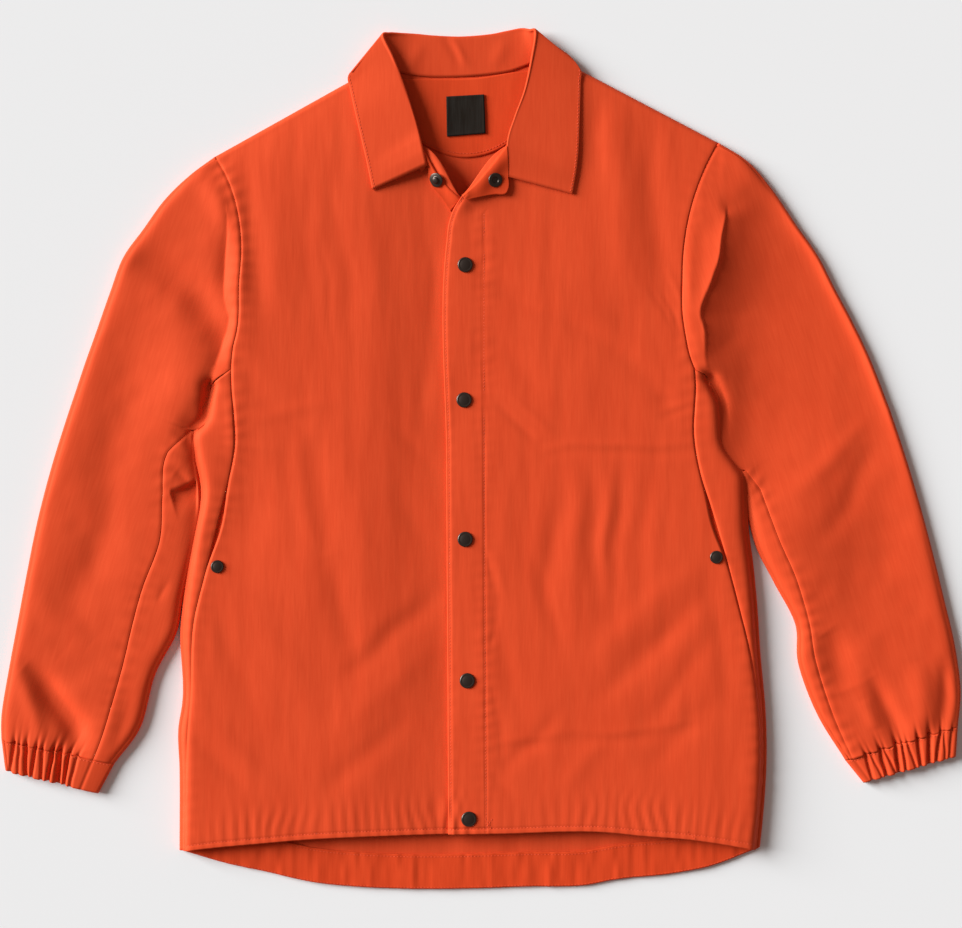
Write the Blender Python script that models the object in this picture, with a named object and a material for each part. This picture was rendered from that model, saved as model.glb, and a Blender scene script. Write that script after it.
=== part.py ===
"""A shirt jacket laid out flat with its front up: cloth walls, a folded collar, gathered cuffs, snaps.

The jacket lies on the plane z = 0. Its collar points along +Y, its front faces +Z, and +X runs to the
wearer's left. The origin is the middle of its outline on the ground. All tables are in millimetres.
"""
import math
from collections import namedtuple

import bmesh
import bpy
import numpy as np
from mathutils import Vector

MM = 0.001

# Cloth walls and the gaps between pieces
CLOTH = 1.2
FACING = 1.0
COLLAR_CLOTH = 1.6
SEAM_GAP = 0.4
UNDERARM_GAP = 2.0
LAID_GAP = 0.3

# How the laid-out layers stand over the ground
FOLD_RADIUS = 3.5
BODY_LOFT = 14.0
BODY_SWELL = 40.0
SLEEVE_LOFT = 15.5
SLEEVE_SWELL = 25.0
CUFF_LOFT = 11.0
CUFF_SWELL = 30.0
FOLD_EASE = 12.0
LEAST_HEIGHT = 6.6
SHOULDER_ROLL = 6.0
SHOULDER_RIM = 2.4
ROLL_ANGLES = (30, 60, 90)
ARMHOLE_BLEND = 35.0

# Grid counts
ARMHOLE_STEPS = 10
UNDERARM_STEPS = 6
SIDE_STEPS = 18
FRONT_COLUMNS = 12
NECK_STEPS = 7
BACK_SHOULDER_STEPS = 4
FREE_STEPS = 11
SLEEVE_COLUMNS = 9
FOLD_STEPS = 4
UNDER_STEPS = 4
SIDE_TOP_STEPS = 2
CUFF_STEPS = 3
GATHER_STEPS = 4
HEM_FACING_STEPS = (16, 2)
NECK_FACING_STEPS = (12, 5)
LINE_STEPS = 60

SIDES = ("right", "left")

# Shoulder line of each front: outer tip, then the neck point
SHOULDER = {
    "right": [(-253, 287), (-101, 372)],
    "left": [(226, 300), (70, 382)],
}
# Armhole seam from the shoulder tip down to the underarm
ARMHOLE = {
    "right": [(-253, 287), (-242, 268), (-234, 247), (-228, 216), (-227, 197), (-229, 166),
              (-231, 121), (-235, 104), (-237, 84)],
    "left": [(226, 300), (213.5, 276), (200, 239), (192, 193), (191, 166), (191, 139),
             (194, 117), (198.5, 96), (203, 84)],
}
# Edge of the sleeve beside the body, from the underarm to just above where the sleeve comes free
UNDERARM = {
    "right": [(-237, 84), (-259, 71.5), (-264, 52), (-266, 40)],
    "left": [(203, 84), (219.5, 79), (226, 67), (231.5, 52), (233.5, 31), (238, 12)],
}
# Outer edge of the sleeve from the shoulder tip to just above the same place
SLEEVE_CAP = {
    "right": [(-253, 287), (-276, 270), (-300, 247), (-322, 217), (-340, 192), (-353, 158), (-367, 118),
              (-377, 90)],
    "left": [(226, 300), (253, 283), (279, 253), (300, 222), (321, 192), (337, 161), (353, 131),
             (368, 100)],
}
# Seam of the front with the side panel, from the underarm to the hem
SIDE_FRONT_SEAM = {
    "right": [(-237, 84), (-236, 62), (-234, 43), (-233, 11), (-237.5, -14), (-247, -52), (-262, -112),
              (-272, -154), (-275.5, -221), (-279, -271), (-281, -348), (-281, -373)],
    "left": [(203, 84), (204, 67), (203, 49), (202, 27), (208, -14), (218, -46), (233, -96), (246, -145),
             (256, -186), (264, -235), (266, -276), (264, -335), (260, -372)],
}
# The side fold, where the side panel turns under, from the underarm to the hem
SIDE_FOLD = {
    "right": [(-257, 69), (-261.5, 50), (-262.5, 38), (-276, 24), (-273.5, 3), (-267, -30), (-273.5, -71),
              (-279, -103), (-283, -131), (-286, -159), (-284.5, -234), (-288, -256), (-287, -295),
              (-287, -373)],
    "left": [(217, 76), (223, 66), (229, 53), (231, 36), (233, 15), (245, -4), (252, -14), (254, -36),
             (255, -67), (259, -99), (263, -140), (266, -186), (271, -242), (272, -276), (268, -347),
             (265.5, -370)],
}
# Seam of the side panel with the back, on the underside
SIDE_BACK_SEAM = {
    "right": [(-237, 84), (-229, 20), (-235, -100), (-240, -250), (-241, -386)],
    "left": [(203, 84), (197, 20), (212, -100), (222, -250), (220, -388)],
}
# Neckline of each front, from the neck point to the foot of the V
NECKLINE = {
    "right": [(-101, 372), (-92, 345), (-80, 318), (-64, 299), (-52, 294), (-21, 249)],
    "left": [(70, 382), (61, 350), (51, 321), (37, 300), (25, 296), (-17, 249)],
}
# Front edge of each front, from the foot of the V to the hem
FRONT_EDGE = {
    "right": [(-21, 249), (-3, 231), (6, 205), (6, 100), (6, -100), (6, -356)],
    "left": [(-17, 249), (-26, 236), (-30, 225), (-33, 202), (-33, 0), (-32, -180), (-31, -357)],
}
# Hem of each front, from the side seam to the front edge
FRONT_HEM = {
    "right": [(-281, -373), (-266, -371), (-204, -365), (-169, -362), (-80, -358), (6, -356)],
    "left": [(260, -372), (250, -370), (200, -362), (151, -358), (122, -355), (21, -356), (-31, -357)],
}
BACK_NECK = [(-101, 372), (-80, 367), (-46, 363), (-5, 364.5), (43, 371), (70, 382)]
BACK_HEM = [(-241, -386), (-208, -393), (-158, -404), (-111, -408.5), (-72, -410), (-1, -409.5),
            (42, -408), (104, -406), (124, -402), (186, -395), (220, -388)]
BACK_HEM_DEPTH = 33.0
HEM_FACING_INSET = 1.4
NECK_FACING_TOP = [(-84, 362), (-46, 361), (-5, 362), (42, 368), (50, 368)]
NECK_FACING_FOOT = [(-92, 355), (-78, 322), (-54, 298), (-15, 286), (24, 298), (46, 325), (58, 362)]
LABEL_CORNERS = [(-33, 344), (3, 346), (4.3, 309), (-32.3, 306)]

# Sections of the free sleeve, down to the cuff: inner and outer edge, share of the width taken by the
# under sleeve on the upper side
Section = namedtuple("Section", "inner_x inner_y outer_x outer_y seam")
SLEEVE = {
    "right": [
        Section(-278.5, 27, -385, 66, 0.045),
        Section(-274, -11, -396, 33, 0.22),
        Section(-272.5, -49, -409, -9, 0.225),
        Section(-278, -85, -422, -59, 0.19),
        Section(-285.5, -131, -432, -108, 0.25),
        Section(-290, -167, -441, -156, 0.28),
        Section(-310, -206, -449, -199, 0.23),
        Section(-324, -256, -456, -241, 0.24),
        Section(-349, -291, -457, -269, 0.18),
    ],
    "left": [
        Section(253, -11, 389, 47, 0.04),
        Section(257, -45, 404, 2, 0.08),
        Section(261, -83, 418, -45, 0.14),
        Section(279, -119, 430, -90, 0.135),
        Section(299, -158, 441, -135, 0.09),
        Section(302, -196, 451, -178, 0.11),
        Section(320, -244, 456.5, -220, 0.10),
        Section(347, -288, 454, -256, 0.06),
    ],
}
# The open end of each cuff: inner and outer edge
CUFF_END = {
    "right": [(-364, -319), (-453, -298)],
    "left": [(364, -309), (452, -284)],
}
# Share of the width at the hidden seam on the underside: where the sleeve comes free, its growth by row,
# and its full value, less on the right sleeve, which is laid with its other seam further over
UNDERSIDE_START = 0.08
UNDERSIDE_SPREAD = 0.10
UNDERSIDE_SEAM = {"right": 0.08, "left": 0.34}
CUFF_GATHERS = 7
CUFF_GATHER_DEPTH = 1.5
CUFF_PLAIN_SHARE = 0.10

# Large folds of the laid cloth: two ends, half width, height over the cloth round it
Fold = namedtuple("Fold", "x0 y0 x1 y1 width height")
FOLDS = [
    Fold(-219, 264, -208, 150, 14, -3.0),
    Fold(151, 321, 181, 122, 16, -3.0),
    Fold(232, 235, 249, 150, 13, -5.0),
    Fold(216, 122, 258, 0, 9, -3.5),
    Fold(209, 221, 201, 150, 7, 2.5),
    Fold(-314, 183, -256, 131, 15, -4.0),
    Fold(-276, 150, -247, 92, 10, -3.5),
    Fold(-236, 207, -238, 141, 6, 2.5),
    Fold(-409, -125, -362, -154, 11, -3.0),
    Fold(-419, -192, -386, -268, 11, -4.0),
    Fold(303, -59, 379, 27, 11, -3.5),
    Fold(322, -97, 362, -11, 9, -3.0),
    Fold(331, -182, 379, -97, 11, -3.0),
    Fold(379, -250, 427, -214, 10, -3.0),
    Fold(4, 169, 94, 117, 13, -2.5),
    Fold(9, 46, 47, 17, 9, -2.0),
    Fold(104, -11, 113, -154, 15, -2.0),
    Fold(-145, 17, -153, -135, 15, -2.5),
    Fold(113, -220, 199, -125, 15, -2.5),
    Fold(-143, -211, -58, -144, 15, -2.5),
]

# The right front dips under the left one between these two lines
UNDERLAP_START = -110.0
UNDERLAP_FULL = -37.0
UNDERLAP_DEPTH = CLOTH + 1.4

# Turned top corners of the front facings: upper end of the roll line, foot of the V, lower and outer corner
LAPEL = {
    "right": [(-52, 290), (-23.5, 247), (-30, 239), (-50, 262)],
    "left": [(24, 290), (-14, 248), (6, 250), (26, 252)],
}
LAPEL_STEPS = (6, 3)
LAPEL_LIFT = 0.7

# Pocket mouth in the side-front seam: its ends along Y, how far it gapes, the strip seen in it
POCKET_TOP = -18.0
POCKET_FOOT = -112.0
POCKET_GAPE = 4.0
POCKET_STRIP_WIDTH = 20.0
POCKET_STRIP_REACH = 6.0
POCKET_STRIP_STEPS = (8, 3)

# Collar sections from the wearer's right front corner round the neck to the left one: fold line, outer
# edge and neck seam in plan, and the turn of the collar (0 lying on the front, 180 lying under the back)
Station = namedtuple("Station", "fold_x fold_y edge_x edge_y neck_x neck_y turn")
COLLAR = [
    Station(-52, 276, -103, 254, -56, 271, 0),
    Station(-62, 316, -109, 283, -74, 301, 0),
    Station(-73, 351, -117, 317, -86, 332, 15),
    Station(-84, 380, -124, 348, -91, 355, 45),
    Station(-91, 395, -128, 364, -93, 367, 80),
    Station(-86, 401.5, -116, 376, -87, 369, 110),
    Station(-75, 403, -97, 380, -78, 367, 145),
    Station(-60, 402.2, -70, 374, -62, 364.3, 172),
    Station(-45, 400.8, -45, 370, -45, 362.8, 180),
    Station(-20, 399.8, -20, 370, -20, 363, 180),
    Station(7, 401.8, 7, 372, 7, 365, 180),
    Station(25, 405.2, 31, 379, 26, 367.7, 172),
    Station(38, 407.5, 57, 389, 42, 373, 145),
    Station(46, 406, 77, 388, 52, 377, 110),
    Station(50, 397, 95, 372, 59, 372, 80),
    Station(48, 376, 95, 354, 59, 352, 45),
    Station(42, 348, 94, 321, 52, 330, 15),
    Station(33, 323, 93, 292, 44, 311, 0),
    Station(26, 299, 91, 272, 35, 294, 0),
    Station(26, 266, 87, 250, 30, 270, 0),
]
COLLAR_STEPS = 38
COLLAR_FOLD_RADIUS = 2.2
COLLAR_FRONT_LIFT = 9.0
COLLAR_SIDE_HEIGHT = 19.0
COLLAR_BACK_HEIGHT = 3.4
COLLAR_NECK_SIDE = 4.1
COLLAR_GAP = 0.6
STAND_STEPS = 2
FALL_STEPS = 4

# Snaps: middle in plan, cap radius
FRONT_SNAPS = [(-15, 183), (-16, 55), (-15, -77), (-13, -211), (-11.5, -342)]
POCKET_SNAPS = {"right": (-250, -103), "left": (223, -94)}
NECK_STUD = (-40, 262)
NECK_SOCKET = (12.5, 263.5)
FRONT_SNAP_RADIUS = 7.3
POCKET_SNAP_RADIUS = 6.2
NECK_SNAP_RADIUS = 6.8
SNAP_HEIGHT = 2.2
SNAP_SIDES = 16
SLOPE_STEP = 2.0
# Outlines of the snaps from foot to top: share of the radius, share of the height
CAP_PROFILE = [(0.9, 0.0), (1.0, 0.3), (0.88, 0.75), (0.55, 1.0)]
STUD_PROFILE = [(1.0, 0.0), (1.0, 0.3), (0.8, 0.45), (0.42, 0.45), (0.42, 1.3), (0.25, 1.5)]
SOCKET_PROFILE = [(1.0, 0.0), (1.0, 0.6), (0.8, 0.8), (0.5, 0.8), (0.4, 0.35)]

# Colours as linear red, green, blue; then roughness and metallic
FINISH = {
    "shell_cloth": ((0.62, 0.062, 0.021), 0.62, 0.0),
    "facing_cloth": ((0.58, 0.055, 0.019), 0.66, 0.0),
    "label_tape": ((0.018, 0.016, 0.015), 0.75, 0.0),
    "snap_metal": ((0.060, 0.045, 0.038), 0.38, 0.9),
}


def smooth(points, count):
    """Points evenly spaced along a smooth curve through the given ones, in count steps."""
    p = np.array(points, float)
    chord = np.concatenate([[0.0], np.cumsum(np.linalg.norm(np.diff(p, axis=0), axis=1))])
    return along(p, chord, np.linspace(0.0, chord[-1], count + 1))


def along(p, stops, at):
    """A smooth curve with values p at the stops, read at other places."""
    slope = np.gradient(p, stops, axis=0)
    k = np.clip(np.searchsorted(stops, at, "right") - 1, 0, len(p) - 2)
    width = (stops[k + 1] - stops[k])[:, None]
    t = (at[:, None] - stops[k][:, None]) / width
    start = (1 + 2 * t) * (1 - t) ** 2 * p[k] + t * (1 - t) ** 2 * width * slope[k]
    end = t * t * (3 - 2 * t) * p[k + 1] + t * t * (t - 1) * width * slope[k + 1]
    return start + end


def joined(*runs):
    """Several runs of points as one, each starting where the last one ends."""
    return np.concatenate([runs[0]] + [run[1:] for run in runs[1:]])


def coons(top, bottom, first, last):
    """A grid between four edges: top and bottom run across, first and last run down."""
    u = np.linspace(0, 1, len(top))[None, :, None]
    v = np.linspace(0, 1, len(first))[:, None, None]
    across = (1 - v) * top[None] + v * bottom[None]
    down = (1 - u) * first[:, None] + u * last[:, None]
    corners = (1 - v) * ((1 - u) * top[0] + u * top[-1]) + v * ((1 - u) * bottom[0] + u * bottom[-1])
    return across + down - corners


def unit(vectors):
    return vectors / np.linalg.norm(vectors, axis=-1, keepdims=True)


def raised(plan, z):
    """Plan points with a height each."""
    return np.concatenate([plan, np.broadcast_to(z, plan.shape[:-1])[..., None]], axis=-1)


def drawn_in(grid, first_row=0.0, last_row=0.0, first_col=0.0, last_col=0.0):
    """The grid with its edges pulled in along the cloth."""
    g = grid.copy()
    g[0] += unit(grid[1] - grid[0]) * first_row
    g[-1] += unit(grid[-2] - grid[-1]) * last_row
    g[:, 0] += unit(grid[:, 1] - grid[:, 0]) * first_col
    g[:, -1] += unit(grid[:, -2] - grid[:, -1]) * last_col
    return g


def away(points, line):
    """Distance of each plan point from a line of joined straight runs."""
    start = line[:-1]
    span = line[1:] - line[:-1]
    reach = points[..., None, :] - start
    share = np.clip((reach * span).sum(-1) / (span * span).sum(-1), 0, 1)
    return np.linalg.norm(reach - share[..., None] * span, axis=-1).min(-1)


def folds(points):
    """Height that the large folds add at each plan point."""
    total = np.zeros(points.shape[:-1])
    for f in FOLDS:
        from_fold = away(points, np.array([(f.x0, f.y0), (f.x1, f.y1)], float))
        total += f.height * np.exp(-(from_fold / f.width) ** 2)
    return total


SIDE_LINES = [smooth(SIDE_FOLD[side], LINE_STEPS) for side in SIDES]
SHOULDER_LINES = [np.array(SHOULDER[side], float) for side in SIDES]


def swell(inside, loft, reach, points):
    """Height of laid cloth that rises from a fold at its edge to its full loft, with the folds on it."""
    inside = np.maximum(inside, 0)
    rise = (loft - 2 * FOLD_RADIUS) * (1 - np.exp(-inside / reach))
    ease = 1 - np.exp(-inside / FOLD_EASE)
    return np.maximum(2 * FOLD_RADIUS + rise + ease * folds(points), LEAST_HEIGHT)


def body_height(points):
    """Height of the upper side of the laid body."""
    edge = np.min([away(points, line) for line in SIDE_LINES + SHOULDER_LINES], axis=0)
    return swell(edge - FOLD_RADIUS, BODY_LOFT, BODY_SWELL, points)


def right_front_height(points):
    """Height of the right front, which dips under the left one."""
    t = np.clip((points[..., 0] - UNDERLAP_START) / (UNDERLAP_FULL - UNDERLAP_START), 0, 1)
    return body_height(points) - UNDERLAP_DEPTH * t * t * (3 - 2 * t)


FRONT_HEIGHT = {"right": right_front_height, "left": body_height}


def finish(name):
    """The named material, made the first time it is asked for."""
    if name in bpy.data.materials:
        return bpy.data.materials[name]
    colour, roughness, metallic = FINISH[name]
    material = bpy.data.materials.new(name)
    material.use_nodes = True
    shader = material.node_tree.nodes["Principled BSDF"]
    shader.inputs["Base Color"].default_value = (*colour, 1.0)
    shader.inputs["Roughness"].default_value = roughness
    shader.inputs["Metallic"].default_value = metallic
    return material


def placed(name, bm, material):
    mesh = bpy.data.meshes.new(name)
    bm.to_mesh(mesh)
    bm.free()
    mesh.materials.append(finish(material))
    obj = bpy.data.objects.new(name, mesh)
    bpy.context.scene.collection.objects.link(obj)
    return obj


def wall(name, grid, thickness=CLOTH, material="shell_cloth", ring=False, shown=(0, 0, 1)):
    """A cloth wall of a thickness inside the grid; its first face looks the shown way."""
    bm = bmesh.new()
    verts = [[bm.verts.new(p * MM) for p in row] for row in grid]
    columns = len(verts[0])
    for upper, lower in zip(verts[:-1], verts[1:]):
        for c in range(columns if ring else columns - 1):
            d = (c + 1) % columns
            bm.faces.new((upper[c], upper[d], lower[d], lower[c]))
    bm.normal_update()
    bm.faces.ensure_lookup_table()
    if bm.faces[0].normal.dot(Vector(shown)) < 0:
        bmesh.ops.reverse_faces(bm, faces=bm.faces)
    obj = placed(name, bm, material)
    solidify = obj.modifiers.new("wall", "SOLIDIFY")
    solidify.thickness = thickness * MM
    solidify.offset = -1.0
    solidify.use_rim = True
    return obj


def build_back():
    """The back lies flat on the ground; its facings and label lie on its inner side."""
    shoulders = [smooth(SHOULDER[side], BACK_SHOULDER_STEPS) for side in SIDES]
    top = joined(shoulders[0], smooth(BACK_NECK, NECK_STEPS), shoulders[1][::-1])
    sides = [joined(smooth(ARMHOLE[side], ARMHOLE_STEPS), smooth(SIDE_BACK_SEAM[side], SIDE_STEPS))
             for side in SIDES]
    plan = coons(top, smooth(BACK_HEM, len(top) - 1), sides[0], sides[1])
    grid = drawn_in(raised(plan, CLOTH), first_row=SEAM_GAP, first_col=SEAM_GAP, last_col=SEAM_GAP)
    wall("back", grid)

    on_back = CLOTH + LAID_GAP + FACING
    across, down = HEM_FACING_STEPS
    foot = smooth(BACK_HEM, across)
    foot[0] += (HEM_FACING_INSET, 0)
    foot[-1] -= (HEM_FACING_INSET, 0)
    plan = np.linspace(foot, foot + (0, BACK_HEM_DEPTH), down + 1)
    wall("back_hem_facing", raised(plan, on_back), FACING, "facing_cloth")

    across, down = NECK_FACING_STEPS
    plan = np.linspace(smooth(NECK_FACING_TOP, across), smooth(NECK_FACING_FOOT, across), down + 1)
    wall("back_neck_facing", raised(plan, on_back), FACING, "facing_cloth")
    corners = np.array(LABEL_CORNERS, float)
    plan = np.array([[corners[0], corners[1]], [corners[3], corners[2]]])
    wall("neck_label", raised(plan, on_back + LAID_GAP + FACING), FACING, "label_tape")


def build_front(side):
    """A front from its shoulder, which rolls down to the back, to its hem."""
    armhole = smooth(ARMHOLE[side], ARMHOLE_STEPS)
    seam = smooth(SIDE_FRONT_SEAM[side], SIDE_STEPS)
    seam[:, 0] -= np.sign(seam[:, 0]) * POCKET_GAPE * pocket_share(seam[:, 1])
    outer = joined(armhole, seam)
    inner = joined(smooth(NECKLINE[side], NECK_STEPS),
                   smooth(FRONT_EDGE[side], ARMHOLE_STEPS + SIDE_STEPS - NECK_STEPS))
    plan = coons(smooth(SHOULDER[side], FRONT_COLUMNS), smooth(FRONT_HEM[side], FRONT_COLUMNS), outer, inner)
    down = unit(plan[1] - plan[0])
    angles = np.radians(ROLL_ANGLES)
    rolled = [plan[0] + down * SHOULDER_ROLL * (1 - math.cos(a)) for a in angles]
    plan = np.concatenate([plan[:1], rolled, plan[1:]])
    z = FRONT_HEIGHT[side](plan)
    for row, a in enumerate([0.0, *angles[:-1]]):
        z[row] = SHOULDER_RIM + (z[len(angles)] - SHOULDER_RIM) * math.sin(a)
    grid = drawn_in(raised(plan, z), first_col=SEAM_GAP)
    wall(f"front_{side}", grid)


def build_lapel(side):
    """The turned top corner of the front facing, lying on its front."""
    top, foot, low, outer = (np.array(p, float) for p in LAPEL[side])
    across, down = LAPEL_STEPS
    plan = np.linspace(np.linspace(top, foot, across + 1), np.linspace(outer, low, across + 1), down + 1)
    z = FRONT_HEIGHT[side](plan) + LAPEL_LIFT + FACING
    wall(f"lapel_facing_{side}", raised(plan, z), FACING, "facing_cloth")


def pocket_share(y):
    """How open the pocket mouth is along the side seam, from 0 at its ends to 1."""
    t = np.clip((y - POCKET_FOOT) / (POCKET_TOP - POCKET_FOOT), 0, 1)
    return np.sin(math.pi * t) ** 2


def build_side(side):
    """A side panel: from the front seam over the side fold to the back seam on the underside."""
    front = smooth(SIDE_FRONT_SEAM[side], SIDE_STEPS)
    fold = smooth(SIDE_FOLD[side], SIDE_STEPS)
    back = smooth(SIDE_BACK_SEAM[side], SIDE_STEPS)
    out = unit(fold - front)
    centre = fold - out * FOLD_RADIUS
    top = np.linspace(front, centre, SIDE_TOP_STEPS + 1, axis=1)
    top = raised(top, body_height(top))
    top[:, -1, 2] = 2 * FOLD_RADIUS
    grid = np.concatenate([top, turned_edge(centre, out), underside(centre, back, UNDER_STEPS)], axis=1)
    grid = drawn_in(grid, first_row=UNDERARM_GAP, first_col=SEAM_GAP, last_col=SEAM_GAP)
    wall(f"side_panel_{side}", grid)

    down, across = POCKET_STRIP_STEPS
    rows = np.linspace(POCKET_TOP + POCKET_STRIP_REACH, POCKET_FOOT - POCKET_STRIP_REACH, down + 1)
    line = smooth(SIDE_FRONT_SEAM[side], LINE_STEPS)
    middle = np.interp(-rows, -line[:, 1], line[:, 0])
    offsets = np.linspace(-0.5, 0.5, across + 1) * POCKET_STRIP_WIDTH
    plan = np.stack(np.broadcast_arrays(middle[:, None] + offsets, rows[:, None]), axis=-1)
    z = body_height(plan) - CLOTH - 2 * LAID_GAP
    wall(f"pocket_facing_{side}", raised(plan, z), FACING, "facing_cloth")


def turned_edge(centre, out):
    """Half rounds that take the cloth from the upper side down to the ground, without their two ends."""
    angles = np.linspace(math.pi / 2, -math.pi / 2, FOLD_STEPS + 1)[1:-1]
    plan = centre[:, None] + out[:, None] * (FOLD_RADIUS * np.cos(angles))[None, :, None]
    return raised(plan, FOLD_RADIUS * (1 + np.sin(angles)))


def underside(start, end, steps):
    """Cloth lying on the ground from one line to another."""
    return raised(np.linspace(start, end, steps + 1, axis=1), 0.0)


def sleeve_frame(side):
    """Rows of the sleeve: inner edge, outer edge and seam share, first beside the body and then free."""
    table = np.array(SLEEVE[side], float)
    stops = np.arange(len(table), dtype=float)
    free = along(table, stops, np.linspace(0, stops[-1], FREE_STEPS + 1))
    beside = joined(smooth(ARMHOLE[side], ARMHOLE_STEPS)[1:],
                    smooth(UNDERARM[side] + [tuple(table[0, 0:2])], UNDERARM_STEPS))
    cap = smooth(SLEEVE_CAP[side] + [tuple(table[0, 2:4])], len(beside) - 1)
    seam = np.concatenate([np.zeros(len(beside) - 1), free[:, 4]])
    return joined(beside, free[:, 0:2]), joined(cap, free[:, 2:4]), seam


def build_sleeve(side):
    """Upper and under sleeve: two cloth walls that lie on each other and turn at the sleeve's edges."""
    inner, outer, seam = sleeve_frame(side)
    width = np.linalg.norm(outer - inner, axis=1)
    out = unit(outer - inner)
    rim = FOLD_RADIUS / width
    first_free = len(inner) - 1 - FREE_STEPS
    armhole = smooth(ARMHOLE[side], ARMHOLE_STEPS)
    cuff = np.array([inner[-1], outer[-1]])

    def place(shares):
        """Plan points at shares of the sleeve's width."""
        return inner[-len(shares):, None] + shares[..., None] * (outer - inner)[-len(shares):, None]

    def upper_side(shares):
        """Points of the upper side, level with the body at the armhole."""
        plan = place(shares)
        edge = np.minimum(away(plan, outer), away(plan, inner[first_free:])) - FOLD_RADIUS
        loft = CUFF_LOFT + (SLEEVE_LOFT - CUFF_LOFT) * (1 - np.exp(-away(plan, cuff) / CUFF_SWELL))
        tube = swell(edge, loft, SLEEVE_SWELL, plan)
        level = np.exp(-(away(plan, armhole) / ARMHOLE_BLEND) ** 2)
        z = tube + level * (body_height(plan) - tube)
        z[:, -1] = 2 * FOLD_RADIUS
        return raised(plan, z)

    def piece(name, top, way_out, below):
        """One wall: its upper side, its turned edge and its underside."""
        grid = np.concatenate([top, turned_edge(top[:, -1, :2], way_out), raised(place(below), 0.0)], axis=1)
        wall(name, drawn_in(grid, SEAM_GAP, SEAM_GAP, SEAM_GAP, SEAM_GAP))

    rows_free = np.arange(len(inner)) - first_free
    under_seam = np.clip(UNDERSIDE_START + UNDERSIDE_SPREAD * rows_free, 0, UNDERSIDE_SEAM[side])
    under_seam[rows_free < 0] = 0
    piece(f"upper_sleeve_{side}", upper_side(np.linspace(seam, 1 - rim, SLEEVE_COLUMNS + 1, axis=1)), out,
          np.linspace(1 - rim, under_seam, UNDER_STEPS + 1, axis=1))
    seam, rim, under_seam, out = (row[first_free:] for row in (seam, rim, under_seam, out))
    piece(f"under_sleeve_{side}", upper_side(np.linspace(seam, rim, SIDE_TOP_STEPS + 1, axis=1)), -out,
          np.linspace(rim, under_seam, UNDER_STEPS + 1, axis=1))


def build_cuff(side):
    """An elastic cuff: a closed band, gathered on its upper side and plain beside the sleeve seam."""
    inner, outer = (line[-1] for line in sleeve_frame(side)[:2])
    end_inner, end_outer = (np.array(p, float) for p in CUFF_END[side])
    inner = np.linspace(inner, end_inner, CUFF_STEPS + 1)
    outer = np.linspace(outer, end_outer, CUFF_STEPS + 1)
    width = np.linalg.norm(outer - inner, axis=1)
    out = unit(outer - inner)
    rim = FOLD_RADIUS / width
    share = np.linspace(rim, 1 - rim, GATHER_STEPS * CUFF_GATHERS + 1, axis=1)
    plan = inner[:, None] + share[..., None] * (outer - inner)[:, None]
    edge = np.minimum(share, 1 - share) * width[:, None] - FOLD_RADIUS
    gathered = np.clip((share - CUFF_PLAIN_SHARE) / (1 - CUFF_PLAIN_SHARE), 0, 1)
    wave = CUFF_GATHER_DEPTH * np.sin(math.pi * CUFF_GATHERS * gathered) ** 2
    ease = 1 - np.exp(-edge / FOLD_EASE)
    z = 2 * FOLD_RADIUS + ease * (CUFF_LOFT - 2 * FOLD_RADIUS + wave)
    low = underside(plan[:, -1], plan[:, 0], UNDER_STEPS)
    grid = np.concatenate([raised(plan, z), turned_edge(plan[:, -1], out), low,
                           turned_edge(plan[:, 0], -out)[:, ::-1]], axis=1)
    wall(f"cuff_{side}", drawn_in(grid, first_row=SEAM_GAP), ring=True)


def build_collar():
    """The collar: up from the neck seam, over its fold line and down to its outer edge."""
    table = np.array(COLLAR, float)
    stops = np.arange(len(table), dtype=float)
    rows = along(table, stops, np.linspace(0, stops[-1], COLLAR_STEPS + 1))
    fold, edge, neck = rows[:, 0:2], rows[:, 2:4], rows[:, 4:6]
    turn = np.radians(np.clip(rows[:, 6], 0, 180))[:, None]
    run = unit(np.gradient(fold, axis=0))
    out = np.stack([-run[:, 1], run[:, 0], np.zeros(len(run))], axis=1)
    up = np.array([0.0, 0.0, 1.0])
    to_fall = np.cos(turn) * up + np.sin(turn) * out
    apex = np.sin(turn) * up - np.cos(turn) * out

    front = np.clip(np.cos(turn[:, 0]), 0, 1)
    back = np.clip(-np.cos(turn[:, 0]), 0, 1)
    side = 1 - front - back
    lying = COLLAR_CLOTH + LAID_GAP
    fold_z = (front * (body_height(fold) + COLLAR_FRONT_LIFT) + side * COLLAR_SIDE_HEIGHT
              + back * COLLAR_BACK_HEIGHT)
    neck_z = (front * (body_height(neck) + COLLAR_GAP) + side * COLLAR_NECK_SIDE
              + back * (lying + CLOTH))
    edge_z = front * (body_height(edge) + COLLAR_CLOTH + COLLAR_GAP) + side * (2 * FOLD_RADIUS + lying)

    centre = raised(fold, fold_z)
    r = COLLAR_FOLD_RADIUS
    stand_end = centre - r * to_fall
    fall_start = centre + r * to_fall
    stand = np.linspace(raised(neck, neck_z), stand_end, STAND_STEPS + 1, axis=1)
    fall = np.linspace(fall_start, raised(edge, edge_z), FALL_STEPS + 1, axis=1)
    bow = [centre + r * (math.sin(a) * to_fall + math.cos(a) * apex) for a in np.radians([-45, 0, 45])]
    grid = np.concatenate([stand, np.stack(bow, axis=1), fall], axis=1)
    wall("collar", grid, COLLAR_CLOTH, shown=(0, 0, -1))


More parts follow.
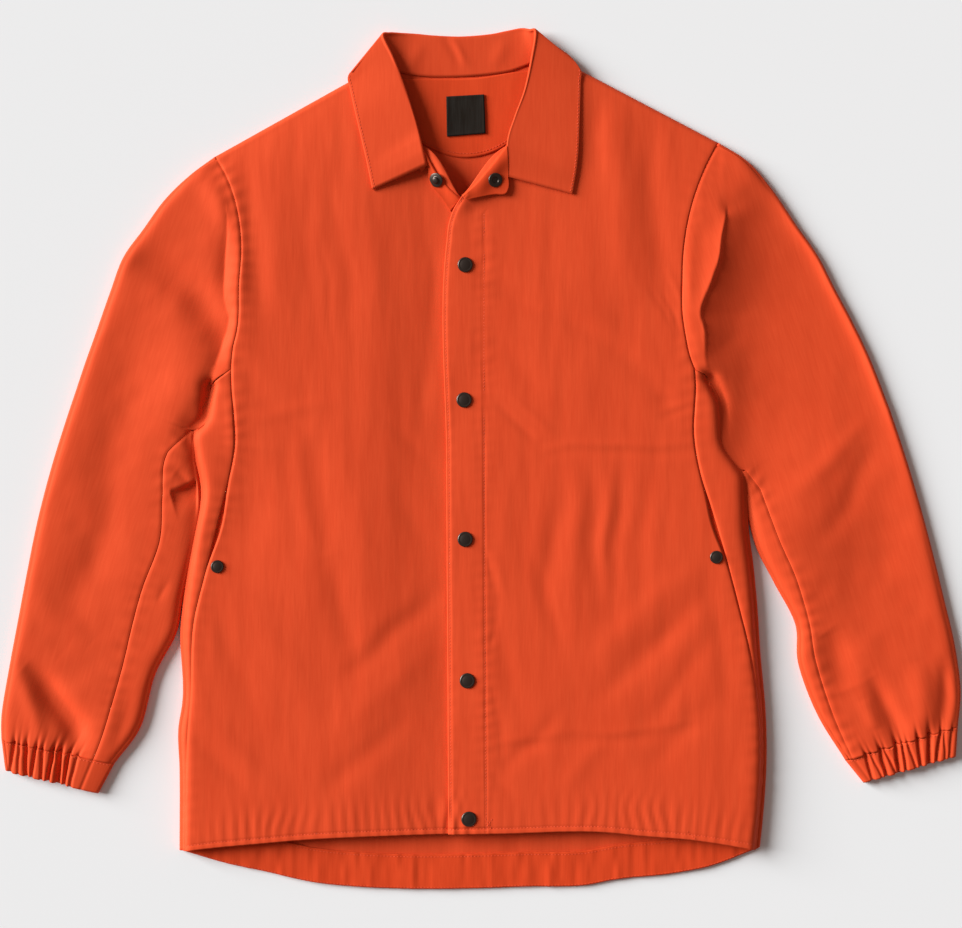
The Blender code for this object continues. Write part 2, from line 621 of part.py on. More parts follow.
def build_snap(name, at, radius, height_at, lift, profile):
    """A round metal piece set on the cloth, its rings taken from a profile."""
    x, y = at
    level = height_at(np.array([(x, y), (x + SLOPE_STEP, y), (x, y + SLOPE_STEP)], float))
    normal = Vector((level[0] - level[1], level[0] - level[2], SLOPE_STEP)).normalized()
    turn = Vector((0, 0, 1)).rotation_difference(normal)
    foot = Vector((x, y, level[0])) + normal * lift
    bm = bmesh.new()
    rings = []
    for share, rise in profile:
        ring = []
        for k in range(SNAP_SIDES):
            a = 2 * math.pi * k / SNAP_SIDES
            local = Vector((radius * share * math.cos(a), radius * share * math.sin(a), SNAP_HEIGHT * rise))
            ring.append(bm.verts.new((foot + turn @ local) * MM))
        rings.append(ring)
    for low, high in zip(rings[:-1], rings[1:]):
        for k in range(SNAP_SIDES):
            n = (k + 1) % SNAP_SIDES
            bm.faces.new((low[k], low[n], high[n], high[k]))
    bm.faces.new(rings[0][::-1])
    bm.faces.new(rings[-1])
    bmesh.ops.recalc_face_normals(bm, faces=bm.faces)
    placed(name, bm, "snap_metal")


def build_snaps():
    """Caps on the placket and beside the pockets; a stud and a socket on the turned corners."""
    lift = 2 * LAID_GAP
    for number, at in enumerate(FRONT_SNAPS, 1):
        build_snap(f"front_snap_{number}", at, FRONT_SNAP_RADIUS, body_height, lift, CAP_PROFILE)
    for side, at in POCKET_SNAPS.items():
        build_snap(f"pocket_snap_{side}", at, POCKET_SNAP_RADIUS, body_height, lift, CAP_PROFILE)
    on_lapel = lift + LAPEL_LIFT + FACING
    build_snap("neck_snap_stud", NECK_STUD, NECK_SNAP_RADIUS, right_front_height, on_lapel, STUD_PROFILE)
    build_snap("neck_snap_socket", NECK_SOCKET, NECK_SNAP_RADIUS, body_height, on_lapel, SOCKET_PROFILE)


for old in list(bpy.data.objects):
    bpy.data.objects.remove(old, do_unlink=True)
build_back()
for side_name in SIDES:
    build_front(side_name)
    build_lapel(side_name)
    build_side(side_name)
    build_sleeve(side_name)
    build_cuff(side_name)
build_collar()
build_snaps()
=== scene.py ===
import math
from collections import namedtuple

import bmesh
import bpy
import numpy as np
from mathutils import Matrix, Vector


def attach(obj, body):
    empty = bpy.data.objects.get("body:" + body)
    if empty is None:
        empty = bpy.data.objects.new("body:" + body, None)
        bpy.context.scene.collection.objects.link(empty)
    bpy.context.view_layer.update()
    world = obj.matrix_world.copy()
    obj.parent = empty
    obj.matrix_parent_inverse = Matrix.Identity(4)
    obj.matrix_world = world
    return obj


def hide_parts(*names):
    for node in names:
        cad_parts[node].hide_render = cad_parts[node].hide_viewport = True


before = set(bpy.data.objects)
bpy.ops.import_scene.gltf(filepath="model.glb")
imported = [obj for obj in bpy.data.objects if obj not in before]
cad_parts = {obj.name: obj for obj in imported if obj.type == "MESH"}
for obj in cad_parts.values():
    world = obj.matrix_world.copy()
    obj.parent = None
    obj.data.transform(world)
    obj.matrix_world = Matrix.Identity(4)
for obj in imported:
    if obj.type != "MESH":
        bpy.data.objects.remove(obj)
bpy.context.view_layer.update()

# The back: one panel of the orange shell cloth, lying on the ground with its inner side up. It is seamed
# to the fronts at the shoulders and to the side panels; here only its neck and its long curved hem show.
# Places and lengths are in millimetres; X runs to the wearer's left, Y to the collar.
MM = 0.001
CLOTH = 1.2
SIDES = ("right", "left")
SHOULDER = {
    "right": [(-253, 287), (-101, 372)],
    "left": [(226, 300), (70, 382)],
}
ARMHOLE = {
    "right": [(-253, 287), (-242, 268), (-234, 247), (-228, 216), (-227, 197), (-229, 166),
              (-231, 121), (-235, 104), (-237, 84)],
    "left": [(226, 300), (213.5, 276), (200, 239), (192, 193), (191, 166), (191, 139),
             (194, 117), (198.5, 96), (203, 84)],
}
SIDE_BACK_SEAM = {
    "right": [(-237, 84), (-229, 20), (-235, -100), (-240, -250), (-241, -386)],
    "left": [(203, 84), (197, 20), (212, -100), (222, -250), (220, -388)],
}
BACK_NECK = [(-101, 372), (-80, 371), (-46, 368), (-5, 369), (43, 377), (70, 382)]
BACK_HEM = [(-241, -386), (-208, -393), (-158, -404), (-111, -408.5), (-72, -410), (-1, -409.5),
            (42, -408), (104, -406), (124, -402), (186, -395), (220, -388)]
BACK_SHOULDER_STEPS = 30
BACK_NECK_STEPS = 40
BACK_ARMHOLE_STEPS = 30
BACK_SIDE_STEPS = 90
BACK_UNEVEN = 0.5
# Unevenness of a cloth: its rise, the size of its grain and the seed of its random draw
Grain = namedtuple("Grain", "rise size seed")
BACK_WAVES = [Grain(1.0, (16, 60), 3)]
DRIFT_CELLS = 64
SHELL_DEEP = (0.70, 0.065, 0.0195)
SHELL_LIGHT = (0.745, 0.075, 0.023)


def along(p, stops, at):
    """A smooth curve with values p at the stops, read at other places."""
    slope = np.gradient(p, stops, axis=0)
    k = np.clip(np.searchsorted(stops, at, "right") - 1, 0, len(p) - 2)
    width = (stops[k + 1] - stops[k])[:, None]
    t = (at[:, None] - stops[k][:, None]) / width
    start = (1 + 2 * t) * (1 - t) ** 2 * p[k] + t * (1 - t) ** 2 * width * slope[k]
    end = t * t * (3 - 2 * t) * p[k + 1] + t * t * (t - 1) * width * slope[k + 1]
    return start + end


def even(steps):
    return np.linspace(0, 1, steps + 1)


def smooth(points, shares):
    """Points at shares of the length of a smooth curve through the given ones."""
    p = np.array(points, float)
    chord = np.concatenate([[0.0], np.cumsum(np.linalg.norm(np.diff(p, axis=0), axis=1))])
    return along(p, chord, shares * chord[-1])


def joined(*runs):
    """Several runs of points as one, each starting where the last one ends."""
    return np.concatenate([runs[0]] + [run[1:] for run in runs[1:]])


def coons(top, bottom, first, last, u, v):
    """A grid between four edges: top and bottom run across at shares u, first and last down at shares v."""
    u = u[None, :, None]
    v = v[:, None, None]
    across = (1 - v) * top[None] + v * bottom[None]
    down = (1 - u) * first[:, None] + u * last[:, None]
    corners = (1 - v) * ((1 - u) * top[0] + u * top[-1]) + v * ((1 - u) * bottom[0] + u * bottom[-1])
    return across + down - corners


def raised(plan, z):
    """Plan points with a height each."""
    return np.concatenate([plan, np.broadcast_to(z, plan.shape[:-1])[..., None]], axis=-1)


def drift(points, size, seed):
    """A smooth uneven field from -1 to 1 over the plan; size is its grain, one number or one per axis."""
    lattice = np.random.default_rng(seed).uniform(-1, 1, (DRIFT_CELLS, DRIFT_CELLS))
    at = points / np.array(size, float)
    cell = np.floor(at).astype(int)
    t = at - cell
    t = t * t * (3 - 2 * t)
    i, j = cell[..., 0] % DRIFT_CELLS, cell[..., 1] % DRIFT_CELLS
    i2, j2 = (i + 1) % DRIFT_CELLS, (j + 1) % DRIFT_CELLS
    low = lattice[i, j] * (1 - t[..., 0]) + lattice[i2, j] * t[..., 0]
    high = lattice[i, j2] * (1 - t[..., 0]) + lattice[i2, j2] * t[..., 0]
    return low * (1 - t[..., 1]) + high * t[..., 1]


def uneven(points, grains):
    """The sum of several uneven fields over the plan."""
    return sum(grain.rise * drift(points, grain.size, grain.seed) for grain in grains)


grain_group = bpy.data.node_groups.new("cloth_grain", "ShaderNodeTree")
grain_group.interface.new_socket("Cloth", in_out="INPUT", socket_type="NodeSocketVector")
grain_group.interface.new_socket("Tone", in_out="OUTPUT", socket_type="NodeSocketFloat")
grain_group.interface.new_socket("Height", in_out="OUTPUT", socket_type="NodeSocketFloat")
grain_in = grain_group.nodes.new("NodeGroupInput")
grain_out = grain_group.nodes.new("NodeGroupOutput")


def streaks(across, lengthwise, detail):
    """Uneven marks in the cloth, so many to the metre across and along the threads."""
    stretch = grain_group.nodes.new("ShaderNodeVectorMath")
    stretch.operation = "MULTIPLY"
    stretch.inputs[1].default_value = (across, lengthwise, 1.0)
    grain_group.links.new(grain_in.outputs["Cloth"], stretch.inputs[0])
    marks = grain_group.nodes.new("ShaderNodeTexNoise")
    marks.noise_dimensions = "2D"
    marks.inputs["Scale"].default_value = 1.0
    marks.inputs["Detail"].default_value = detail
    grain_group.links.new(stretch.outputs["Vector"], marks.inputs["Vector"])
    return marks.outputs["Fac"]


def threads(direction):
    """The even ribs of one set of threads of the plain weave."""
    ribs = grain_group.nodes.new("ShaderNodeTexWave")
    ribs.bands_direction = direction
    ribs.inputs["Scale"].default_value = 420.0
    grain_group.links.new(grain_in.outputs["Cloth"], ribs.inputs["Vector"])
    return ribs.outputs["Fac"]


def weighed(*terms):
    """The sum of values, each times its weight."""
    total = None
    for value, weight in terms:
        step = grain_group.nodes.new("ShaderNodeMath")
        step.operation = "MULTIPLY_ADD"
        grain_group.links.new(value, step.inputs[0])
        step.inputs[1].default_value = weight
        step.inputs[2].default_value = 0.0
        if total is not None:
            grain_group.links.new(total, step.inputs[2])
        total = step.outputs[0]
    return total


slub = streaks(across=650.0, lengthwise=42.0, detail=2.0)
crinkle = streaks(across=210.0, lengthwise=26.0, detail=3.0)
mottle = streaks(across=30.0, lengthwise=18.0, detail=2.0)
tone_range = grain_group.nodes.new("ShaderNodeMapRange")
tone_range.inputs["From Min"].default_value = 0.36
tone_range.inputs["From Max"].default_value = 0.64
grain_group.links.new(weighed((slub, 0.45), (crinkle, 0.3), (mottle, 0.25)), tone_range.inputs["Value"])
grain_group.links.new(tone_range.outputs["Result"], grain_out.inputs["Tone"])
height = weighed((slub, 0.5), (crinkle, 1.3), (threads("X"), 0.1), (threads("Y"), 0.1))
grain_group.links.new(height, grain_out.inputs["Height"])


def woven(name, deep, light, roughness, sheen):
    """A woven cloth between two colours, with slubs and crinkles along its threads."""
    material = bpy.data.materials.new(name)
    material.use_nodes = True
    nodes, links = material.node_tree.nodes, material.node_tree.links
    shader = nodes["Principled BSDF"]
    shader.inputs["Roughness"].default_value = roughness
    shader.inputs["Specular IOR Level"].default_value = 0.22
    shader.inputs["Specular Tint"].default_value = (1.0, 0.5, 0.2, 1.0)
    shader.inputs["Sheen Weight"].default_value = sheen
    shader.inputs["Sheen Roughness"].default_value = 0.45
    shader.inputs["Sheen Tint"].default_value = (1.0, 0.35, 0.16, 1.0)
    place = nodes.new("ShaderNodeUVMap")
    place.uv_map = "cloth"
    grain = nodes.new("ShaderNodeGroup")
    grain.node_tree = grain_group
    links.new(place.outputs["UV"], grain.inputs["Cloth"])
    colour = nodes.new("ShaderNodeMix")
    colour.data_type = "RGBA"
    colour.inputs[6].default_value = (*deep, 1.0)
    colour.inputs[7].default_value = (*light, 1.0)
    links.new(grain.outputs["Tone"], colour.inputs[0])
    links.new(colour.outputs[2], shader.inputs["Base Color"])
    relief = nodes.new("ShaderNodeBump")
    relief.inputs["Strength"].default_value = 0.10
    relief.inputs["Distance"].default_value = 0.0005
    links.new(grain.outputs["Height"], relief.inputs["Height"])
    links.new(relief.outputs["Normal"], shader.inputs["Normal"])
    return material


def placed(name, mesh, material):
    """A smooth mesh of one material as an object at the origin."""
    mesh.polygons.foreach_set("use_smooth", np.ones(len(mesh.polygons), bool))
    mesh.materials.append(material)
    obj = bpy.data.objects.new(name, mesh)
    bpy.context.scene.collection.objects.link(obj)
    return obj


def cloth(name, grid, wall, material, stands_for, lean=0.0, ring=False, shown=1.0):
    """A cloth on a grid of points, with its wall inside it.

    lean turns its threads, ring closes its rows, shown is 1 where its first face looks up and -1 where down.
    """
    rows, columns = grid.shape[:2]
    number = np.arange(rows * columns).reshape(rows, columns)
    if ring:
        number = np.concatenate([number, number[:, :1]], axis=1)
    faces = np.stack([number[:-1, :-1], number[:-1, 1:], number[1:, 1:], number[1:, :-1]], axis=-1)
    faces = faces.reshape(-1, 4)
    points = grid.reshape(-1, 3) * MM
    a, b, c = points[faces[0, 0]], points[faces[0, 1]], points[faces[0, 2]]
    if np.cross(b - a, c - a)[2] * shown < 0:
        faces = faces[:, ::-1]
    mesh = bpy.data.meshes.new(name)
    mesh.from_pydata(points.tolist(), [], faces.tolist())
    turn = np.array([[math.cos(lean), -math.sin(lean)], [math.sin(lean), math.cos(lean)]])
    threads_at = points[:, :2] @ turn
    layer = mesh.uv_layers.new(name="cloth")
    layer.data.foreach_set("uv", threads_at[faces.ravel()].astype(np.float32).ravel())
    obj = placed(name, mesh, material)
    body = obj.modifiers.new("wall", "SOLIDIFY")
    body.thickness = wall * MM
    body.offset = -1.0
    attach(obj, "root")
    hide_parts(*stands_for)
    return obj


shell = woven("shell_cloth", SHELL_DEEP, SHELL_LIGHT, roughness=0.62, sheen=0.02)
top = joined(smooth(SHOULDER["right"], even(BACK_SHOULDER_STEPS)), smooth(BACK_NECK, even(BACK_NECK_STEPS)),
             smooth(SHOULDER["left"], even(BACK_SHOULDER_STEPS))[::-1])
sides = [joined(smooth(ARMHOLE[side], even(BACK_ARMHOLE_STEPS)),
                smooth(SIDE_BACK_SEAM[side], even(BACK_SIDE_STEPS))) for side in SIDES]
plan = coons(top, smooth(BACK_HEM, even(len(top) - 1)), *sides, even(len(top) - 1), even(len(sides[0]) - 1))
grid = raised(plan, CLOTH + BACK_UNEVEN * (1 + uneven(plan, BACK_WAVES)))
back = cloth("back_panel", grid, CLOTH, shell, ["back"])

# The facings on the inner side of the back: a strip along the hem, stitched down along its upper edge and
# drawn into small puckers, and a half moon under the neck seam that carries the blank black label.
FACING = 1.0
LAID_GAP = 0.3
BACK_HEM_DEPTH = 33.0
HEM_STRIP_STEPS = (250, 26)
HEM_STRIP_ENDS = [(-281, -374.5), (259, -373)]
HEM_PUCKER = 0.4
HEM_WAVES = [Grain(1.0, (5, 22), 11), Grain(0.7, (11, 40), 12)]
HEM_STITCH_LIFT = 0.1
NECK_FACING_TOP = [(-84, 362), (-46, 361), (-5, 362), (42, 368), (50, 368)]
NECK_FACING_FOOT = [(-92, 355), (-78, 322), (-54, 298), (-15, 286), (24, 298), (46, 325), (58, 362)]
NECK_FACING_STEPS = (90, 40)
NECK_FACING_UNEVEN = 0.25
NECK_FACING_WAVES = [Grain(NECK_FACING_UNEVEN, (14, 40), 13)]
LABEL_CORNERS = [(-33, 344), (3, 346), (4.3, 309), (-32.3, 306)]
LABEL_STEPS = 24
LABEL_SAG = 0.5
LABEL_RIM = 0.06
LABEL_WAVES = [Grain(0.2, 18, 14)]
FACING_DEEP = (0.66, 0.054, 0.014)
FACING_LIGHT = (0.72, 0.064, 0.017)
LABEL_DEEP = (0.0065, 0.0075, 0.0075)
LABEL_LIGHT = (0.016, 0.0175, 0.017)
THREAD_COLOUR = (0.76, 0.080, 0.020)
# A stitch: its length, width and height; the pitch of a row; the row of a grid, from its edge, that is sewn
STITCH = (2.5, 0.55, 0.4)
STITCH_PITCH = 3.2
SEWN_ROW = 2


def painted(name, colour, roughness, metallic):
    """A plain material of one colour."""
    material = bpy.data.materials.new(name)
    material.use_nodes = True
    shader = material.node_tree.nodes["Principled BSDF"]
    shader.inputs["Base Color"].default_value = (*colour, 1.0)
    shader.inputs["Roughness"].default_value = roughness
    shader.inputs["Metallic"].default_value = metallic
    return material


def sewn(name, rows, material):
    """Rows of raised stitches along lines of points in space."""
    bm = bmesh.new()
    for row in rows:
        stops = np.concatenate([[0.0], np.cumsum(np.linalg.norm(np.diff(row, axis=0), axis=1))])
        middles = np.arange(STITCH_PITCH / 2, stops[-1], STITCH_PITCH)
        ends = [np.stack([np.interp(middles + reach, stops, row[:, k]) for k in range(3)], axis=1)
                for reach in (-STITCH[0] / 2, STITCH[0] / 2)]
        for start, end in zip(*ends):
            turn = Vector(end - start).to_track_quat("X", "Z")
            size = Vector(STITCH) * 0.5 * MM
            matrix = Matrix.LocRotScale(Vector((start + end) / 2 * MM), turn, size)
            bmesh.ops.create_icosphere(bm, subdivisions=1, radius=1.0, matrix=matrix)
    mesh = bpy.data.meshes.new(name)
    bm.to_mesh(mesh)
    bm.free()
    obj = placed(name, mesh, material)
    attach(obj, "root")
    return obj


facing = woven("facing_cloth", FACING_DEEP, FACING_LIGHT, roughness=0.64, sheen=0.02)
label_cloth = woven("label_tape", LABEL_DEEP, LABEL_LIGHT, roughness=0.8, sheen=0.05)
thread = painted("sewing_thread", THREAD_COLOUR, roughness=0.55, metallic=0.0)
on_back = CLOTH + BACK_UNEVEN + LAID_GAP + FACING

across, down = HEM_STRIP_STEPS
foot = smooth([HEM_STRIP_ENDS[0]] + BACK_HEM + [HEM_STRIP_ENDS[1]], even(across))
plan = np.linspace(foot, foot + (0, BACK_HEM_DEPTH), down + 1)
z = on_back + HEM_PUCKER * (1 + uneven(plan, HEM_WAVES))
hem_strip = cloth("back_hem_strip", raised(plan, z), FACING, facing, ["back_hem_facing"])
rows = [raised(plan[row], z[row] + HEM_STITCH_LIFT) for row in (1, down - SEWN_ROW)]
hem_stitches = sewn("back_hem_stitches", rows, thread)

across, down = NECK_FACING_STEPS
plan = np.linspace(smooth(NECK_FACING_TOP, even(across)), smooth(NECK_FACING_FOOT, even(across)), down + 1)
grid = raised(plan, on_back + uneven(plan, NECK_FACING_WAVES))
half_moon = cloth("neck_half_moon", grid, FACING, facing, ["back_neck_facing"])
row = raised(plan[down - SEWN_ROW], on_back + NECK_FACING_UNEVEN)
moon_stitches = sewn("half_moon_stitches", [row], thread)

corners = np.array(LABEL_CORNERS, float)
label_edge = even(LABEL_STEPS)[:, None]
plan = np.linspace(corners[0] + label_edge * (corners[1] - corners[0]),
                   corners[3] + label_edge * (corners[2] - corners[3]), LABEL_STEPS + 1)
rim = np.minimum(even(LABEL_STEPS), even(LABEL_STEPS)[::-1])
rim = np.minimum(rim[:, None], rim[None, :])
on_facing = on_back + LAID_GAP + FACING
grid = raised(plan, on_facing + LABEL_SAG * np.exp(-(rim / LABEL_RIM) ** 2) + uneven(plan, LABEL_WAVES))
label = cloth("neck_label_patch", grid, FACING, label_cloth, ["neck_label"])

# The two fronts: panels of the shell cloth that lie over the back with some air below, the left one lapping
# over the right. The cloth swells from its shoulder and side folds, and shallow creases run over it.
FOLD_RADIUS = 3.5
BODY_LOFT = 14.0
SIDE_SWELL = {"right": 2.6, "left": 3.0}
SHOULDER_SWELL = 40.0
BODY_EASE = 5.0
LEAST_HEIGHT = 5.0
FLOOR_SOFTNESS = 0.8
SHOULDER_ROLL = 6.0
SHOULDER_RIM = 2.4
ROLL_ANGLES = (15, 30, 45, 60, 75, 90)
ROLL_ROWS = 3
SIDE_FRONT_SEAM = {
    "right": [(-237, 84), (-236, 62), (-234, 43), (-233, 11), (-237.5, -14), (-247, -52), (-262, -112),
              (-272, -154), (-275.5, -221), (-279, -271), (-281, -348), (-281, -373)],
    "left": [(203, 84), (204, 67), (203, 49), (202, 27), (208, -14), (218, -46), (233, -96), (246, -145),
             (256, -186), (264, -235), (266, -276), (264, -335), (260, -372)],
}
SIDE_FOLD = {
    "right": [(-257, 69), (-261, 50), (-262.5, 40), (-265.5, 34.5), (-274, 26), (-275.5, 21), (-273.5, 3),
              (-267, -30), (-273.5, -71), (-279, -103), (-283, -131), (-286, -159), (-284.5, -234),
              (-288, -256), (-287, -295), (-287, -373)],
    "left": [(217, 76), (223, 66), (229, 53), (231, 36), (233, 15), (245, -4), (252, -14), (254, -36),
             (255, -67), (259, -99), (263, -140), (266, -186), (271, -242), (272, -276), (268, -347),
             (265.5, -370)],
}
NECKLINE = {
    "right": [(-101, 372), (-92, 345), (-80, 318), (-64, 299), (-52, 294), (-21, 249)],
    "left": [(70, 382), (61, 350), (51, 321), (37, 300), (25, 296), (-17, 249)],
}
FRONT_EDGE = {
    "right": [(-21, 249), (-3, 231), (6, 205), (6, 100), (6, -100), (6, -356)],
    "left": [(-17, 249), (-26, 236), (-30, 225), (-33, 202), (-33, 0), (-32, -180), (-31, -357)],
}
FRONT_HEM = {
    "right": [(-281, -373), (-266, -371), (-204, -365), (-169, -362), (-80, -358), (6, -356)],
    "left": [(260, -372), (250, -370), (200, -362), (151, -358), (122, -355), (21, -356), (-31, -357)],
}
POCKET_TOP = -18.0
POCKET_FOOT = -112.0
POCKET_GAPE = 4.0
UNDERLAP_START = -110.0
UNDERLAP_FULL = -37.0
UNDERLAP_DEPTH = CLOTH + 2.2
EDGE_ROLL = 0.8
EDGE_ROLL_WIDTH = 2.6
PLACKET_EDGE_ROW = 2.8
PLACKET_INNER_ROW = [(3, 232), (3, 0), (4, -200), (5, -355)]
HEM_ROW = 5.0
TACKS = [[(3.5, -341), (11, -352)], [(11, -341.5), (4.5, -351)], [(195, -353), (203, -361)]]
ROW_DIP = 0.45
ROW_DIP_WIDTH = 1.1
SEAM_DIP = 0.55
SEAM_DIP_WIDTH = 1.7
# Ripples that run off a seam: their wave, reach and rise, and the seed of their random draw
Pucker = namedtuple("Pucker", "wave reach rise seed")
ARMHOLE_PUCKER = Pucker(13, 10, 0.4, 41)
SIDE_PUCKER = Pucker(14, 11, 0.4, 43)
HEM_RIPPLE = Pucker(11, 20, 0.5, 45)
HEM_RIPPLE_INSET = 14
PLACKET_PUCKER = Pucker(12, 9, 0.35, 47)
EDGE_PUCKER = Pucker(15, 6, 0.25, 49)
PUCKER_SWAY = 3.0
PUCKER_SWAY_WAVES = 2.5
PUCKER_STRENGTH = 0.6
PUCKER_STRENGTH_SPREAD = 0.6
PUCKER_STRENGTH_WAVES = 5
BODY_WAVES = [Grain(0.5, (34, 70), 31), Grain(0.2, (11, 60), 32), Grain(0.07, (5, 34), 33)]
WANDER = 5.0
WANDER_SIZE = 42
WANDER_SEEDS = (21, 22)
LINE_STEPS = 60
STITCH_LINE_STEPS = 400
FRONT_STITCH_LIFT = 0.12
ARMHOLE_STEPS = 72
SIDE_STEPS = (150, 8)
SIDE_LAST_SHARE = 0.0174
NECK_STEPS = 44
EDGE_LAST_SHARE = 0.0132
FRONT_COLUMNS = (78, 38)
FRONT_FINE_SHARE = 0.15
CREASE_RISE = 0.55
CREASE_STEPS = 4
CREASE_END = 0.04
CREASE_FADE = 0.6
SHARP_STEEP = 1.6
SHARP_ROUND = 0.25
SOFT = 0
SHARP = 1
# Creases: half width, height over the cloth round them, soft or sharp, points of their line
Crease = namedtuple("Crease", "width height sharp points")
BODY_CREASES = [
    # Folds that fall from the right shoulder over the chest
    Crease(11, -3, SOFT, [(-225, 275), (-210, 150)]),
    Crease(8, -0.8, SOFT, [(-165, 265), (-160, 150)]),
    Crease(13, 1.6, SOFT, [(-195, 255), (-185, 120)]),
    Crease(10, -1.7, SOFT, [(-140, 255), (-125, 120)]),
    Crease(11, 1.3, SOFT, [(-105, 240), (-100, 120)]),
    Crease(10, -1.2, SOFT, [(-40, 230), (-55, 55)]),
    Crease(5, -0.9, SHARP, [(-150, 200), (-140, 105)]),
    # Drags across the right waist
    Crease(8, -1.2, SOFT, [(-245, 120), (-210, 55)]),
    Crease(8, -1, SHARP, [(-210, 55), (-165, 20)]),
    Crease(7, 0.8, SOFT, [(-220, 35), (-145, 50)]),
    Crease(8, -1, SOFT, [(-95, 35), (-40, -10)]),
    Crease(10, -1, SOFT, [(-85, -20), (-50, -95)]),
    # Long folds down the right front
    Crease(11, -2.6, SOFT, [(-155, 20), (-150, -95)]),
    Crease(11, -2.3, SOFT, [(-150, -95), (-125, -180)]),
    Crease(10, 1.3, SOFT, [(-125, 0), (-115, -135)]),
    Crease(10, -1.2, SOFT, [(-180, 25), (-175, -95)]),
    # Slanting folds above the right hem
    Crease(11, -2.4, SOFT, [(-40, -125), (-125, -210)]),
    Crease(13, 1.5, SOFT, [(-50, -180), (-130, -255)]),
    Crease(11, -1.8, SOFT, [(-70, -245), (-145, -315)]),
    Crease(15, 1.2, SOFT, [(-220, -135), (-170, -230)]),
    Crease(11, -1.2, SOFT, [(-255, -135), (-210, -250)]),
    Crease(8, -1.4, SOFT, [(-275, -265), (-220, -315)]),
    Crease(10, 1.2, SOFT, [(-260, -250), (-190, -315)]),
    # The long drag from the chest to the left side, and the folds beside it
    Crease(8, -2.4, SOFT, [(5, 165), (60, 140)]),
    Crease(9, -2.2, SOFT, [(60, 140), (135, 100)]),
    Crease(10, -1.6, SOFT, [(135, 100), (200, 30)]),
    Crease(9, 1.4, SOFT, [(20, 180), (125, 130)]),
    Crease(11, -1, SOFT, [(10, 120), (55, 65)]),
    # Folds that fall from the left shoulder, and the small ones at their foot
    Crease(13, -2.6, SOFT, [(150, 330), (180, 150)]),
    Crease(13, 1.3, SOFT, [(125, 310), (140, 160)]),
    Crease(10, -1.6, SOFT, [(105, 340), (115, 270)]),
    Crease(6, 1.2, SOFT, [(200, 200), (195, 130)]),
    Crease(5, -1.6, SHARP, [(170, 160), (190, 115)]),
    Crease(4, -1, SHARP, [(160, 162), (180, 118)]),
    Crease(4, 1.2, SHARP, [(178, 180), (198, 132)]),
    # The pressed line across the left waist, with its start at the front edge
    Crease(5, -1.8, SHARP, [(15, 50), (50, 16)]),
    Crease(5, 1.2, SHARP, [(28, 58), (65, 24)]),
    Crease(4, -1, SHARP, [(50, 16), (75, 6)]),
    Crease(4, 1, SHARP, [(60, 7), (200, 16)]),
    Crease(5, -0.8, SOFT, [(60, 0), (200, 9)]),
    # Small folds that meet at the left side seam above the pocket
    Crease(3, -1, SHARP, [(170, 58), (200, 50)]),
    Crease(3, -0.9, SHARP, [(175, 40), (202, 47)]),
    Crease(3, -0.9, SHARP, [(180, 70), (203, 55)]),
    Crease(3, 0.8, SHARP, [(175, 48), (200, 48)]),
    # Upright folds below the left waist
    Crease(9, -1, SOFT, [(45, -10), (40, -135)]),
    Crease(9, -1.7, SOFT, [(75, -20), (65, -135)]),
    Crease(8, 1.2, SOFT, [(90, -20), (90, -155)]),
    Crease(9, -2, SOFT, [(105, -10), (115, -155)]),
    Crease(7, 1, SOFT, [(120, -20), (120, -135)]),
    Crease(8, -1.6, SOFT, [(135, 0), (125, -170)]),
    Crease(9, -1.1, SOFT, [(155, -10), (150, -135)]),
    Crease(8, -1.4, SOFT, [(55, -95), (75, -170)]),
    # Slanting folds from the left side towards the hem
    Crease(11, 1.5, SOFT, [(200, -110), (105, -195)]),
    Crease(11, -2.6, SOFT, [(210, -135), (115, -220)]),
    Crease(11, -1.4, SOFT, [(225, -165), (150, -260)]),
    Crease(10, -1.4, SOFT, [(210, -95), (240, -230)]),
    Crease(11, -1.2, SOFT, [(150, -295), (230, -230)]),
    # The pressed line above the left hem, and the ripples under it
    Crease(5, 1, SHARP, [(10, -269), (75, -263)]),
    Crease(5, 0.9, SHARP, [(75, -263), (210, -251)]),
    Crease(7, -1, SOFT, [(10, -276), (210, -259)]),
    Crease(10, -1.5, SOFT, [(20, -300), (75, -245)]),
    Crease(10, 1, SOFT, [(75, -315), (125, -260)]),
    # Small folds beside the left front edge
    Crease(5, -1.1, SHARP, [(5, -90), (20, -135)]),
    Crease(5, -1, SHARP, [(20, -135), (8, -180)]),
    Crease(5, -1, SHARP, [(8, -220), (20, -290)]),
    Crease(5, 0.8, SHARP, [(14, -90), (28, -135)]),
    Crease(9, -1, SOFT, [(20, -170), (35, -250)]),
    Crease(6, -0.8, SHARP, [(2, -295), (38, -325)]),
    # The right armhole seam as a rib, the side-front seam below it, and the hollow beside the pocket
    Crease(20, 4.5, SHARP, [(-247, 275), (-234, 247), (-228, 216), (-227, 197), (-229, 166), (-231, 125),
                            (-236, 100)]),
    Crease(14, 3, SHARP, [(-237, 60), (-236, 30), (-236, 4)]),
    Crease(34, -6.4, SOFT, [(-216, 6), (-219, -30), (-225, -60), (-236, -92), (-246, -118)]),
]
# The rolled edges at the top of the front opening, as ridges
ROLLS = [
    Crease(9, 8, SOFT, [(-54, 297), (-18, 244)]),
    Crease(10, 4, SOFT, [(27, 299), (-15, 247)]),
]


def unit(vectors):
    return vectors / np.linalg.norm(vectors, axis=-1, keepdims=True)


